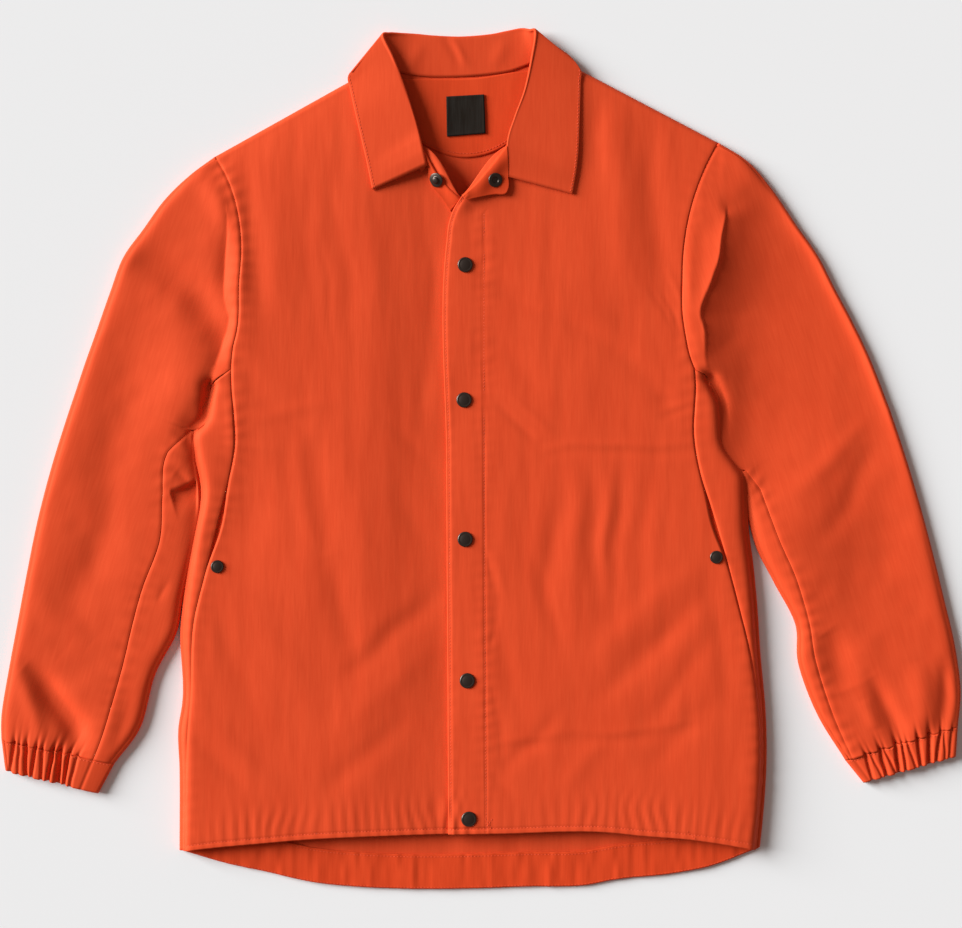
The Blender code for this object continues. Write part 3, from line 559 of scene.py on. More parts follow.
def beside(points, line):
    """Distance of each plan point from a line of straight runs, its place along it, and its side.

    The side is 1 to the left of the line and -1 to its right.
    """
    span = line[1:] - line[:-1]
    length = np.linalg.norm(span, axis=1)
    reach = points[..., None, :] - line[:-1]
    share = np.clip((reach * span).sum(-1) / length ** 2, 0, 1)
    gap = np.linalg.norm(reach - share[..., None] * span, axis=-1)
    run = np.concatenate([[0.0], np.cumsum(length)[:-1]]) + share * length
    hand = np.sign(span[:, 0] * reach[..., 1] - span[:, 1] * reach[..., 0])
    nearest = gap.argmin(-1)[..., None]
    return [np.take_along_axis(values, nearest, -1)[..., 0] for values in (gap, run, hand)]


def away(points, line):
    return beside(points, line)[0]


def near(points, line, width):
    """1 on a line, falling softly to 0 beside it."""
    return np.exp(-(away(points, line) / width) ** 2)


def creased(points, table):
    """Height that creases add at each plan point; they fade to their ends and wander a little."""
    at = points + WANDER * np.stack([drift(points, WANDER_SIZE, seed) for seed in WANDER_SEEDS], axis=-1)
    total = np.zeros(points.shape[:-1])
    for crease in table:
        steps = 1 if len(crease.points) == 2 else CREASE_STEPS * len(crease.points)
        line = smooth(crease.points, even(steps))
        gap, run, _ = beside(at, line)
        gap = gap / crease.width
        share = run / np.linalg.norm(np.diff(line, axis=0), axis=1).sum()
        if crease.sharp:
            profile = np.exp(SHARP_STEEP * (SHARP_ROUND - np.sqrt(gap ** 2 + SHARP_ROUND ** 2)))
        else:
            profile = np.exp(-gap ** 2)
        fade = np.sin(math.pi * (CREASE_END + (1 - 2 * CREASE_END) * share)) ** CREASE_FADE
        total += crease.height * profile * fade
    return total


def puckered(points, line, pucker):
    """Small ripples that run off a seam, uneven along it."""
    wave, reach, rise, seed = pucker
    gap, run, _ = beside(points, line)
    phase = 2 * math.pi * run / wave + PUCKER_SWAY * drift(points, PUCKER_SWAY_WAVES * wave, seed)
    spread = PUCKER_STRENGTH_SPREAD * drift(points, PUCKER_STRENGTH_WAVES * wave, seed + 1)
    strength = PUCKER_STRENGTH + spread
    return rise * strength * np.sin(phase) * np.exp(-(gap / reach) ** 2)


def lifted(z, least):
    """Heights kept over a least one, with a soft turn."""
    return least + FLOOR_SOFTNESS * np.logaddexp(0, (z - least) / FLOOR_SOFTNESS)


side_lines = [smooth(SIDE_FOLD[side], even(LINE_STEPS)) for side in SIDES]
shoulder_lines = [np.array(SHOULDER[side], float) for side in SIDES]
armhole_lines = [smooth(ARMHOLE[side], even(LINE_STEPS)) for side in SIDES]
seam_lines = [smooth(SIDE_FRONT_SEAM[side], even(LINE_STEPS)) for side in SIDES]
hem_lines = [smooth(FRONT_HEM[side], even(LINE_STEPS)) for side in SIDES]
edge_line = smooth(FRONT_EDGE["left"], even(LINE_STEPS))
placket_rows = [edge_line + (PLACKET_EDGE_ROW, 0), smooth(PLACKET_INNER_ROW, even(LINE_STEPS))]
hem_rows = [line + (0, HEM_ROW) for line in hem_lines]


def body_top(points):
    """Height of the upper side of the laid body, with its creases, puckers and seams."""
    swells = [*SIDE_SWELL.values(), SHOULDER_SWELL, SHOULDER_SWELL]
    inset = [np.maximum(away(points, line) - FOLD_RADIUS, 0) for line in side_lines + shoulder_lines]
    rise = np.prod([1 - np.exp(-gap / swell) for gap, swell in zip(inset, swells)], axis=0)
    inside = np.min(inset, axis=0)
    z = 2 * FOLD_RADIUS + (BODY_LOFT - 2 * FOLD_RADIUS) * rise
    relief = CREASE_RISE * creased(points, BODY_CREASES) + uneven(points, BODY_WAVES)
    z = z + (1 - np.exp(-inside / BODY_EASE)) * relief
    z = lifted(z, LEAST_HEIGHT) + creased(points, ROLLS)
    for number in range(len(SIDES)):
        z = z + puckered(points, armhole_lines[number], ARMHOLE_PUCKER)
        z = z + puckered(points, seam_lines[number], SIDE_PUCKER)
        z = z + puckered(points, hem_lines[number] + (0, HEM_RIPPLE_INSET), HEM_RIPPLE)
        for line in (armhole_lines[number], seam_lines[number]):
            z = z - SEAM_DIP * near(points, line, SEAM_DIP_WIDTH)
        z = z - ROW_DIP * near(points, hem_rows[number], ROW_DIP_WIDTH)
    return z


def front_top(side, points):
    """Height of a front: the right one dips under the left, whose placket two stitch rows draw in."""
    z = body_top(points)
    if side == "right":
        t = np.clip((points[..., 0] - UNDERLAP_START) / (UNDERLAP_FULL - UNDERLAP_START), 0, 1)
        return z - UNDERLAP_DEPTH * t * t * (3 - 2 * t)
    z = z + puckered(points, placket_rows[1], PLACKET_PUCKER)
    z = z + puckered(points, edge_line, EDGE_PUCKER)
    for row in placket_rows:
        z = z - ROW_DIP * near(points, row, ROW_DIP_WIDTH)
    return z - EDGE_ROLL * near(points, edge_line, EDGE_ROLL_WIDTH)


def pocket_share(y):
    """How open the pocket mouth is along the side seam, from 0 at its ends to 1."""
    t = np.clip((y - POCKET_FOOT) / (POCKET_TOP - POCKET_FOOT), 0, 1)
    return np.sin(math.pi * t) ** 2


def finer_end(steps, last_steps, last_share):
    """Even shares of a length, with a finer last stretch."""
    return joined(np.linspace(0, 1 - last_share, steps + 1), np.linspace(1 - last_share, 1, last_steps + 1))


columns = finer_end(*FRONT_COLUMNS, FRONT_FINE_SHARE)
for side in SIDES:
    seam = smooth(SIDE_FRONT_SEAM[side], finer_end(*SIDE_STEPS, SIDE_LAST_SHARE))
    seam[:, 0] -= np.sign(seam[:, 0]) * POCKET_GAPE * pocket_share(seam[:, 1])
    outer = joined(smooth(ARMHOLE[side], even(ARMHOLE_STEPS)), seam)
    edge_steps = ARMHOLE_STEPS + SIDE_STEPS[0] - NECK_STEPS
    inner = joined(smooth(NECKLINE[side], even(NECK_STEPS)),
                   smooth(FRONT_EDGE[side], finer_end(edge_steps, SIDE_STEPS[1], EDGE_LAST_SHARE)))
    run = np.concatenate([[0.0], np.cumsum(np.linalg.norm(np.diff(outer, axis=0), axis=1))])
    plan = coons(smooth(SHOULDER[side], columns), smooth(FRONT_HEM[side], columns), outer, inner,
                 columns, run / run[-1])
    down = unit(plan[ROLL_ROWS] - plan[0])
    angles = np.radians(ROLL_ANGLES)
    rolled = [plan[0] + down * SHOULDER_ROLL * (1 - math.cos(a)) for a in angles]
    plan = np.concatenate([plan[:1], rolled, plan[ROLL_ROWS:]])
    z = front_top(side, plan)
    for row, a in enumerate([0.0, *angles[:-1]]):
        z[row] = SHOULDER_RIM + (z[len(angles)] - SHOULDER_RIM) * math.sin(a)
    cloth(f"front_panel_{side}", raised(plan, z), CLOTH, shell, [f"front_{side}"])

for side, hem_row in zip(SIDES, hem_rows):
    rows = [hem_row] + (placket_rows + TACKS if side == "left" else [])
    rows = [smooth(row, even(STITCH_LINE_STEPS)) for row in rows]
    rows = [raised(row, front_top(side, row) + FRONT_STITCH_LIFT) for row in rows]
    stitches = sewn(f"front_stitches_{side}", rows, thread)

# The turned top corners of the front facings: the inner side of each front's edge, folded out over a soft
# roll beside the V of the neck. They carry the neck snap.
LAPEL_ROLL = {
    "right": [(-54, 290), (-46, 275), (-33, 257), (-20, 245)],
    "left": [(25, 295), (8, 273), (-5, 258), (-17, 247)],
}
LAPEL_OUTER = {
    "right": [(-50, 276), (-49, 262), (-37, 246), (-29, 234)],
    "left": [(26, 266), (25.9, 254), (24.4, 250.5), (13.3, 249.4), (-5.7, 246), (-14, 244)],
}
LAPEL_STEPS = (60, 20)
LAPEL_LIFT = 2.0
LAPEL_FOOT_LIFT = {"right": -0.8, "left": 0.8}
LAPEL_TURN = [(0.2, 2.6), (0.9, 1.2)]
for side in SIDES:
    across, down = LAPEL_STEPS
    roll = smooth(LAPEL_ROLL[side], even(across))
    outer = smooth(LAPEL_OUTER[side], even(across))
    flat = np.linspace(roll, outer, down + 1)
    z = front_top(side, flat) + FACING + np.linspace(LAPEL_LIFT, LAPEL_FOOT_LIFT[side], across + 1)
    inward = unit(roll - outer)
    turned = [raised(roll + inward * out, z[0] - drop) for out, drop in LAPEL_TURN]
    grid = np.concatenate([np.stack(turned), raised(flat, z)])
    lapel = cloth(f"lapel_{side}", grid, FACING, facing, [f"lapel_facing_{side}"])

# The side panels: strips of the shell cloth from the front seam over the side fold to the back seam. A
# pocket mouth is left open in each front seam, with a strip of facing seen inside it.
SIDE_PANEL_STEPS = 170
SIDE_TOP_STEPS = 14
FOLD_STEPS = 10
UNDER_STEPS = 8
POCKET_STRIP_WIDTH = 20.0
POCKET_STRIP_REACH = 6.0
POCKET_STRIP_STEPS = (60, 10)


def turned_edge(centre, out):
    """Half rounds that take the cloth from the upper side down to the ground, without their two ends."""
    angles = np.linspace(math.pi / 2, -math.pi / 2, FOLD_STEPS + 1)[1:-1]
    plan = centre[:, None] + out[:, None] * (FOLD_RADIUS * np.cos(angles))[None, :, None]
    return raised(plan, FOLD_RADIUS * (1 + np.sin(angles)))


for side in SIDES:
    front = smooth(SIDE_FRONT_SEAM[side], even(SIDE_PANEL_STEPS))
    fold = smooth(SIDE_FOLD[side], even(SIDE_PANEL_STEPS))
    seam = smooth(SIDE_BACK_SEAM[side], even(SIDE_PANEL_STEPS))
    out = unit(fold - front)
    centre = fold - out * FOLD_RADIUS
    upper = np.linspace(front, centre, SIDE_TOP_STEPS + 1, axis=1)
    upper = raised(upper, body_top(upper))
    upper[:, -1, 2] = 2 * FOLD_RADIUS
    lower = raised(np.linspace(centre, seam, UNDER_STEPS + 1, axis=1), 0.0)
    grid = np.concatenate([upper, turned_edge(centre, out), lower], axis=1)
    panel = cloth(f"side_strip_{side}", grid, CLOTH, shell, [f"side_panel_{side}"])

    down, across = POCKET_STRIP_STEPS
    rows = np.linspace(POCKET_TOP + POCKET_STRIP_REACH, POCKET_FOOT - POCKET_STRIP_REACH, down + 1)
    line = seam_lines[SIDES.index(side)]
    middle = np.interp(-rows, -line[:, 1], line[:, 0])
    offsets = np.linspace(-0.5, 0.5, across + 1) * POCKET_STRIP_WIDTH
    plan = np.stack(np.broadcast_arrays(middle[:, None] + offsets, rows[:, None]), axis=-1)
    grid = raised(plan, body_top(plan) - CLOTH - 2 * LAID_GAP)
    strip = cloth(f"pocket_strip_{side}", grid, FACING, facing, [f"pocket_facing_{side}"])

# The sleeves: each an upper and an under sleeve, seamed to a tube and laid flat. The tube swells between
# its folds, is level with the body along the armhole and gathers towards the cuff.
SLEEVE_LOFT = 9.6
FOLD_EASE = 12.0
OUTER_SWELL = 3.0
INNER_SWELL = 3.0
CUFF_LOFT = 9.2
CUFF_SWELL = 30.0
ARMHOLE_BLEND = 35.0
ARMHOLE_CLEAR = 9.0
SLEEVE_LEAST = 2.8
UNDERARM = {
    "right": [(-237, 84), (-257, 69), (-264, 52), (-266, 40)],
    "left": [(203, 84), (217, 76), (224, 66), (230, 52), (232.5, 31), (237, 12)],
}
SLEEVE_CAP = {
    "right": [(-253, 287), (-276, 270), (-300, 247), (-322, 217), (-340, 192), (-353, 158), (-367, 118),
              (-377, 90)],
    "left": [(226, 300), (253, 283), (279, 253), (300, 222), (321, 192), (337, 161), (353, 131),
             (368, 100)],
}
# Sections of the free sleeve: inner and outer edge, and the under sleeve's share of the upper side
Section = namedtuple("Section", "inner_x inner_y outer_x outer_y seam")
SLEEVE = {
    "right": [
        Section(-278.5, 27, -385, 66, 0.045),
        Section(-269, -11, -396, 33, 0.24),
        Section(-266, -49, -409, -9, 0.255),
        Section(-273, -85, -422, -59, 0.215),
        Section(-283, -131, -432, -108, 0.26),
        Section(-290, -167, -441, -156, 0.28),
        Section(-310, -206, -449, -199, 0.23),
        Section(-324, -256, -456, -241, 0.24),
        Section(-349, -291, -457, -269, 0.18),
    ],
    "left": [
        Section(253, -11, 389, 47, 0.04),
        Section(252.5, -45, 404, 2, 0.11),
        Section(261, -83, 418, -45, 0.14),
        Section(279, -119, 430, -90, 0.135),
        Section(299, -158, 441, -135, 0.09),
        Section(302, -196, 451, -178, 0.11),
        Section(320, -244, 456.5, -220, 0.10),
        Section(347, -288, 454, -256, 0.06),
    ],
}
UNDERSIDE_START = 0.08
UNDERSIDE_SPREAD = 1.1
UNDERSIDE_SEAM = {"right": 0.08, "left": 0.34}
UNDERARM_REACH = 8.0
UNDERARM_SEAM_SHARE = {"right": 0.33, "left": 0.08}
UNDERARM_ROWS = 3
UNDERARM_FADE_ROWS = 16
# The line along which the body stands over the sleeve: the height of its crest, how far the sleeve then
# drops below its own level, and how fast
Step = namedtuple("Step", "x y crest drop fall")
STEPS = {
    "right": [
        Step(-241, 232, 0, 0, 8),
        Step(-241, 213, -2.5, 0, 8),
        Step(-243, 183, -3.5, 0, 8),
        Step(-243, 149, -4, 0, 8),
        Step(-238.5, 133, -4.5, 0, 10),
        Step(-245, 109, -3, 0, 9),
        Step(-253.5, 84, -2, 0, 7),
        Step(-260, 58, -1.8, 0, 6),
        Step(-262, 38, -2, 0, 6),
        Step(-276.5, 24, -2.5, 0, 7),
        Step(-272.5, 3, -2, 0, 7),
        Step(-268, -18, -1.5, 0, 7),
        Step(-267.5, -30, -3, 0, 9),
        Step(-270, -50, -3.5, 0, 8),
        Step(-272, -64, -3, 0, 7),
        Step(-276.5, -97, 0, 0, 7),
    ],
    "left": [
        Step(232, 228, 1, 1, 28),
        Step(230, 218, 4.5, 4, 32),
        Step(228, 208, 6, 5, 34),
        Step(226, 191, 6.5, 5.5, 34),
        Step(215.5, 160, 5.5, 5.5, 36),
        Step(208, 139, 5, 5.5, 36),
        Step(212, 121, 4, 5.5, 30),
        Step(213, 92, 1, 6, 22),
        Step(218, 68, -1, 7, 17),
        Step(225, 44, -1, 7, 16),
        Step(226.5, 24, -0.6, 7, 17),
        Step(229, 9, -0.4, 7, 18),
        Step(237, -6, -0.6, 6, 18),
        Step(246, -18, -1.5, 4, 14),
        Step(250, -32, -1, 2, 12),
        Step(255.5, -45, 0, 0, 12),
    ],
}
STEP_INNER = {"right": 5.0, "left": 14.0}
STEP_CLIFF = 0.5
STEP_BOW = 1.25
STEP_END = 6.0
STEP_CLIFF_WIDTH = 0.8
STEP_BLEND = 12.0
STEP_CLEAR = 5.0
STEP_EASE = 4.0
STEP_LEAST = 2.4
SLEEVE_LEAN = {"right": -0.29, "left": 0.29}
SLEEVE_ARMHOLE_STEPS = 76
SLEEVE_UNDERARM_STEPS = 22
SLEEVE_FREE_STEPS = 160
SLEEVE_COLUMNS = 100
UNDER_SLEEVE_COLUMNS = 28
SLEEVE_WAVES = [Grain(0.6, 46, 51), Grain(0.3, 16, 52)]
SLEEVE_PUCKER = Pucker(14, 9, 0.35, 53)
SLEEVE_CREASES = [
    # Right sleeve: the drag into the armhole, the swell and hollow down its length, the rise at its head
    Crease(16, -6.2, SOFT, [(-335, 190), (-300, 178), (-275, 164), (-260, 147), (-248, 125), (-249, 103)]),
    Crease(26, 3, SOFT, [(-305, 160), (-288, 148), (-276, 120), (-280, 90), (-288, 50), (-282, 5),
                         (-276, -40)]),
    Crease(24, -2.7, SOFT, [(-335, 125), (-338, 85), (-345, 35), (-355, -30), (-365, -90), (-382, -140),
                            (-382, -190)]),
    Crease(10, 2.6, SOFT, [(-262, 266), (-248, 247), (-238, 221)]),
    # Right sleeve: small folds at the underarm
    Crease(8, -1.6, SOFT, [(-264, 58), (-280, 28), (-295, 10)]),
    Crease(9, -4, SHARP, [(-292, -16), (-276, -28), (-268, -32)]),
    Crease(6, -1.2, SHARP, [(-294, -115), (-305, -135)]),
    # Right sleeve: folds that run into the cuff
    Crease(12, -7.5, SOFT, [(-436, -200), (-420, -213), (-406, -230), (-392, -250), (-385, -276)]),
    Crease(19, 1.4, SOFT, [(-400, -188), (-370, -220), (-354, -250), (-350, -274)]),
    Crease(8, 2, SOFT, [(-442, -192), (-434, -220), (-425, -250), (-421, -274)]),
    Crease(11, 1.6, SOFT, [(-425, -135), (-370, -180)]),
    Crease(8, -1.4, SOFT, [(-332, -230), (-350, -280)]),
    # Left sleeve: the swell and the hollow down its length, and the two folds across the elbow
    Crease(44, 3.6, SOFT, [(315, -10), (300, -45), (282, -88), (288, -135), (305, -180)]),
    Crease(36, -2.4, SOFT, [(375, 15), (382, -40), (385, -88), (374, -135), (368, -188)]),
    Crease(12, -1.2, SOFT, [(390, 25), (370, 0), (344, -45), (324, -75)]),
    Crease(10, 1, SOFT, [(368, 42), (332, 4), (290, -40)]),
    # Left sleeve: folds that run into the cuff
    Crease(15, -3.8, SOFT, [(320, -172), (337, -192), (347, -220)]),
    Crease(8, -3, SOFT, [(370, -210), (382, -232), (394, -258), (398, -276)]),
    Crease(8, -3.4, SOFT, [(440, -196), (440, -230), (432, -258)]),
    Crease(11, 2, SOFT, [(410, -192), (417, -230), (411, -264)]),
    Crease(7, 1.6, SOFT, [(362, -230), (374, -256)]),
]
# The mouth of a fold on the right under sleeve: the cloth drops below this line and comes up again
FOLD_MOUTH = [(-295, -31.5), (-284, -28.5), (-274, -24), (-264, -19)]
FOLD_MOUTH_DEPTH = 7.0
FOLD_MOUTH_FALL = 16.0
FOLD_MOUTH_EDGE = 0.7
FOLD_MOUTH_LIMIT = 30
CUFF_END = {
    "right": [(-364, -319), (-453, -298)],
    "left": [(364, -309), (452, -284)],
}
# Pleats that the elastic draws in: share of the width from the inner edge, depth, half width, lean
Pleat = namedtuple("Pleat", "at depth width lean")
PLEATS = {
    "right": [
        Pleat(0.31, 1.6, 1.6, 0.02), Pleat(0.38, 3.6, 1.7, 0.03), Pleat(0.455, 5.2, 2.6, 0.05),
        Pleat(0.54, 4.2, 1.8, 0.0), Pleat(0.62, 2.2, 1.6, 0.02), Pleat(0.70, 2.8, 1.5, -0.03),
        Pleat(0.77, 3.4, 1.8, 0.01), Pleat(0.84, 1.8, 1.4, -0.02), Pleat(0.91, 3.8, 1.9, -0.06),
        Pleat(0.97, 1.6, 1.4, 0.0),
    ],
    "left": [
        Pleat(0.14, 3.0, 1.8, 0.08), Pleat(0.21, 1.6, 1.4, 0.02), Pleat(0.28, 3.6, 1.9, 0.06),
        Pleat(0.345, 2.0, 1.5, 0.0), Pleat(0.42, 4.4, 2.2, 0.07), Pleat(0.485, 2.4, 1.5, 0.04),
        Pleat(0.555, 1.6, 1.4, -0.02), Pleat(0.63, 3.6, 1.8, 0.02), Pleat(0.73, 4.8, 2.4, 0.03),
        Pleat(0.82, 3.6, 1.9, 0.06), Pleat(0.88, 1.6, 1.4, 0.0), Pleat(0.94, 2.6, 1.6, 0.02),
    ],
}
PLEAT_REACH = 6.0
SEAM_SCALLOP = 0.8


def sleeve_frame(side):
    """Rows of the sleeve: inner edge, outer edge and seam share, first beside the body and then free."""
    table = np.array(SLEEVE[side], float)
    stops = np.arange(len(table), dtype=float)
    free = along(table, stops, stops[-1] * even(SLEEVE_FREE_STEPS))
    beside_body = joined(smooth(ARMHOLE[side], even(SLEEVE_ARMHOLE_STEPS))[1:],
                         smooth(UNDERARM[side] + [tuple(table[0, 0:2])], even(SLEEVE_UNDERARM_STEPS)))
    cap = smooth(SLEEVE_CAP[side] + [tuple(table[0, 2:4])], even(len(beside_body) - 1))
    seam = np.concatenate([np.zeros(len(beside_body) - 1), free[:, 4]])
    return joined(beside_body, free[:, 0:2]), joined(cap, free[:, 2:4]), seam


def stepped(points, side):
    """What the step beside the body adds to the height, the distance from it, and whether beyond it."""
    path = smooth(STEPS[side], even(LINE_STEPS))
    gap, _, hand = beside(points, path[:, :2])
    weight = np.exp(-np.linalg.norm(points[..., None, :] - path[:, :2], axis=-1) / STEP_BLEND)
    crest, drop, fall = np.moveaxis(weight @ path[:, 2:] / weight.sum(-1, keepdims=True), -1, 0)
    outside = hand * (-1 if side == "right" else 1) > 0
    cliff = STEP_CLIFF * np.maximum(crest, 0) * (1 - np.exp(-gap / STEP_CLIFF_WIDTH))
    slope = crest - (crest + drop) * (1 - np.exp(-(gap / fall) ** STEP_BOW)) - cliff
    fade = 1.0
    for tip, near in (path[:2, :2], path[:-3:-1, :2]):
        past = np.maximum((points - tip) @ unit(tip - near), 0)
        apart = np.sqrt(np.maximum(gap ** 2 - past ** 2, 0))
        fade = fade * np.exp(-(past / (STEP_END + apart)) ** 2)
    return fade * np.where(outside, slope, crest * np.exp(-gap / STEP_INNER[side])), gap, outside


def mouthed(points):
    """Depth of the cloth below the mouth of the fold, none above it."""
    line = smooth(FOLD_MOUTH, even(LINE_STEPS))
    gap, run, hand = beside(points, line)
    share = run / np.linalg.norm(np.diff(line, axis=0), axis=1).sum()
    open_share = np.sqrt(np.clip(2 * share, 0, 1))
    side_on = np.clip(hand * gap / FOLD_MOUTH_EDGE, -FOLD_MOUTH_LIMIT, FOLD_MOUTH_LIMIT)
    below = 1 / (1 + np.exp(side_on))
    return FOLD_MOUTH_DEPTH * open_share * below * np.exp(-(gap / FOLD_MOUTH_FALL) ** 2)


def pleated(side, share, width, down=0.0):
    """Depth of the pleats across a gathered width; down is the share of the cuff's depth."""
    total = np.zeros(share.shape)
    for pleat in PLEATS[side]:
        at = pleat.at - pleat.lean * (down - 0.5)
        total -= pleat.depth * np.exp(-((share - at) * width / pleat.width) ** 2)
    return total


for side in SIDES:
    inner, outer, seam = sleeve_frame(side)
    first_free = len(inner) - 1 - SLEEVE_FREE_STEPS
    row = np.arange(len(inner))
    past_seam = row - SLEEVE_ARMHOLE_STEPS - UNDERARM_SEAM_SHARE[side] * SLEEVE_UNDERARM_STEPS
    left_over = 1 - (row - first_free) / UNDERARM_FADE_ROWS
    under_body = np.clip(np.minimum(past_seam / UNDERARM_ROWS, left_over), 0, 1)
    inner = inner - UNDERARM_REACH * under_body[:, None] * unit(outer - inner)
    width = np.linalg.norm(outer - inner, axis=1)
    out = unit(outer - inner)
    rim = FOLD_RADIUS / width
    armhole = np.concatenate([armhole_lines[SIDES.index(side)], UNDERARM[side][1:2]])
    cuff = np.array([inner[-1], outer[-1]])
    cuff_way = unit(np.array(CUFF_END[side][0]) - inner[-1])
    seam_line = (inner + seam[:, None] * (outer - inner))[first_free:]

    def place(shares):
        """Plan points at shares of the sleeve's width."""
        return inner[-len(shares):, None] + shares[..., None] * (outer - inner)[-len(shares):, None]

    def upper_side(shares):
        """Points of the upper side, level with the body at the armhole."""
        plan = place(shares)
        outer_inset, inner_inset = (np.maximum(away(plan, line) - FOLD_RADIUS, 0)
                                    for line in (outer, inner[first_free:]))
        inside = np.minimum(outer_inset, inner_inset)
        swell = (1 - np.exp(-outer_inset / OUTER_SWELL)) * (1 - np.exp(-inner_inset / INNER_SWELL))
        above_cuff = away(plan, cuff)
        loft = CUFF_LOFT + (SLEEVE_LOFT - CUFF_LOFT) * (1 - np.exp(-above_cuff / CUFF_SWELL))
        tube = 2 * FOLD_RADIUS + (loft - 2 * FOLD_RADIUS) * swell
        from_armhole = away(plan, armhole)
        tube = tube + np.exp(-(from_armhole / ARMHOLE_BLEND) ** 2) * (body_top(plan) - tube)
        pleat = np.exp(-above_cuff / PLEAT_REACH) * pleated(side, shares, width[-len(shares):, None])
        fold = creased(plan, SLEEVE_CREASES) + uneven(plan, SLEEVE_WAVES) + pleat
        clear = 1 - np.exp(-(from_armhole / ARMHOLE_CLEAR) ** 2)
        z = tube + clear * (1 - np.exp(-inside / FOLD_EASE)) * fold
        step, from_step, beyond = stepped(plan, side)
        step = step * np.where(beyond, 1, 1 - np.exp(-(from_armhole / STEP_CLEAR) ** 2))
        z = z + (1 - np.exp(-inside / STEP_EASE)) * step
        z = z - mouthed(plan)
        z = lifted(z, SLEEVE_LEAST + (STEP_LEAST - SLEEVE_LEAST) * np.exp(-(from_step / STEP_BLEND) ** 2))
        z = z + puckered(plan, seam_line, SLEEVE_PUCKER)
        z = z - SEAM_DIP * near(plan, seam_line, SEAM_DIP_WIDTH)
        z[:, -1] = 2 * FOLD_RADIUS
        return raised(plan + SEAM_SCALLOP * pleat[..., None] * cuff_way, z)

    rows_free = (row - first_free) / SLEEVE_FREE_STEPS
    under_seam = np.clip(UNDERSIDE_START + UNDERSIDE_SPREAD * rows_free, 0, UNDERSIDE_SEAM[side])
    under_seam[rows_free < 0] = 0
    upper = upper_side(np.linspace(seam, 1 - rim, SLEEVE_COLUMNS + 1, axis=1))
    lower = raised(place(np.linspace(1 - rim, under_seam, UNDER_STEPS + 1, axis=1)), 0.0)
    grid = np.concatenate([upper, turned_edge(upper[:, -1, :2], out), lower], axis=1)
    top_piece = cloth(f"sleeve_upper_{side}", grid, CLOTH, shell, [f"upper_sleeve_{side}"],
                      lean=SLEEVE_LEAN[side])

    free_seam, free_rim, free_under, free_out = (rows[first_free:] for rows in (seam, rim, under_seam, out))
    upper = upper_side(np.linspace(free_seam, free_rim, UNDER_SLEEVE_COLUMNS + 1, axis=1))
    lower = raised(place(np.linspace(free_rim, free_under, UNDER_STEPS + 1, axis=1)), 0.0)
    grid = np.concatenate([upper, turned_edge(upper[:, -1, :2], -free_out), lower], axis=1)
    under_piece = cloth(f"sleeve_under_{side}", grid, CLOTH, shell, [f"under_sleeve_{side}"],
                        lean=SLEEVE_LEAN[side])

# The cuffs: bands of the shell cloth over a flat elastic, sewn on at the ends of the sleeves. The elastic
# draws the cloth into pleats, but for a plain stretch beside the sleeve seam.
CUFF_STEPS = 16
CUFF_COLUMNS = 150
CUFF_UNDER_STEPS = 30
CUFF_SCALLOP = 0.4
CUFF_SEAM = {"right": 0.185, "left": 0.07}
CUFF_WAVES = [Grain(0.006, 9, 61)]
CUFF_RIM_PLEAT = 0.35
STITCH_LIFT = 0.15
for side in SIDES:
    inner, outer = (line[-1] for line in sleeve_frame(side)[:2])
    end_inner, end_outer = (np.array(p, float) for p in CUFF_END[side])
    inner = np.linspace(inner, end_inner, CUFF_STEPS + 1)
    outer = np.linspace(outer, end_outer, CUFF_STEPS + 1)
    width = np.linalg.norm(outer - inner, axis=1)
    out = unit(outer - inner)
    rim = FOLD_RADIUS / width
    share = np.linspace(rim, 1 - rim, CUFF_COLUMNS + 1, axis=1)
    plan = inner[:, None] + share[..., None] * (outer - inner)[:, None]
    inside = np.minimum(share, 1 - share) * width[:, None] - FOLD_RADIUS
    grown = even(CUFF_STEPS)[:, None]
    pleat = pleated(side, share + uneven(plan, CUFF_WAVES), width[:, None], grown)
    ease = 1 - np.exp(-inside / FOLD_EASE)
    tube = 2 * FOLD_RADIUS + ease * (CUFF_LOFT - 2 * FOLD_RADIUS)
    z = lifted(tube + (CUFF_RIM_PLEAT + (1 - CUFF_RIM_PLEAT) * ease) * pleat, SLEEVE_LEAST)
    way = unit(end_inner - inner[0])
    z = z - SEAM_DIP * np.exp(-((share - CUFF_SEAM[side]) * width[:, None] / SEAM_DIP_WIDTH) ** 2)
    scallop = (SEAM_SCALLOP + grown * (CUFF_SCALLOP - SEAM_SCALLOP)) * pleat
    plan = plan + scallop[..., None] * way
    lower = raised(np.linspace(plan[:, -1], plan[:, 0], CUFF_UNDER_STEPS + 1, axis=1), 0.0)
    grid = np.concatenate([raised(plan, z), turned_edge(plan[:, -1], out), lower,
                           turned_edge(plan[:, 0], -out)[:, ::-1]], axis=1)
    band = cloth(f"cuff_band_{side}", grid, CLOTH, shell, [f"cuff_{side}"], lean=SLEEVE_LEAN[side],
                 ring=True)
    stitches = sewn(f"cuff_stitches_{side}", [raised(plan[1], z[1] + STITCH_LIFT)], thread)

# The collar: a doubled band that stands up from the neck seam, turns over its fold line and falls on the
# shoulders; at the back of the neck it lies flat, so that the inside of its stand shows.
COLLAR_CLOTH = 1.6
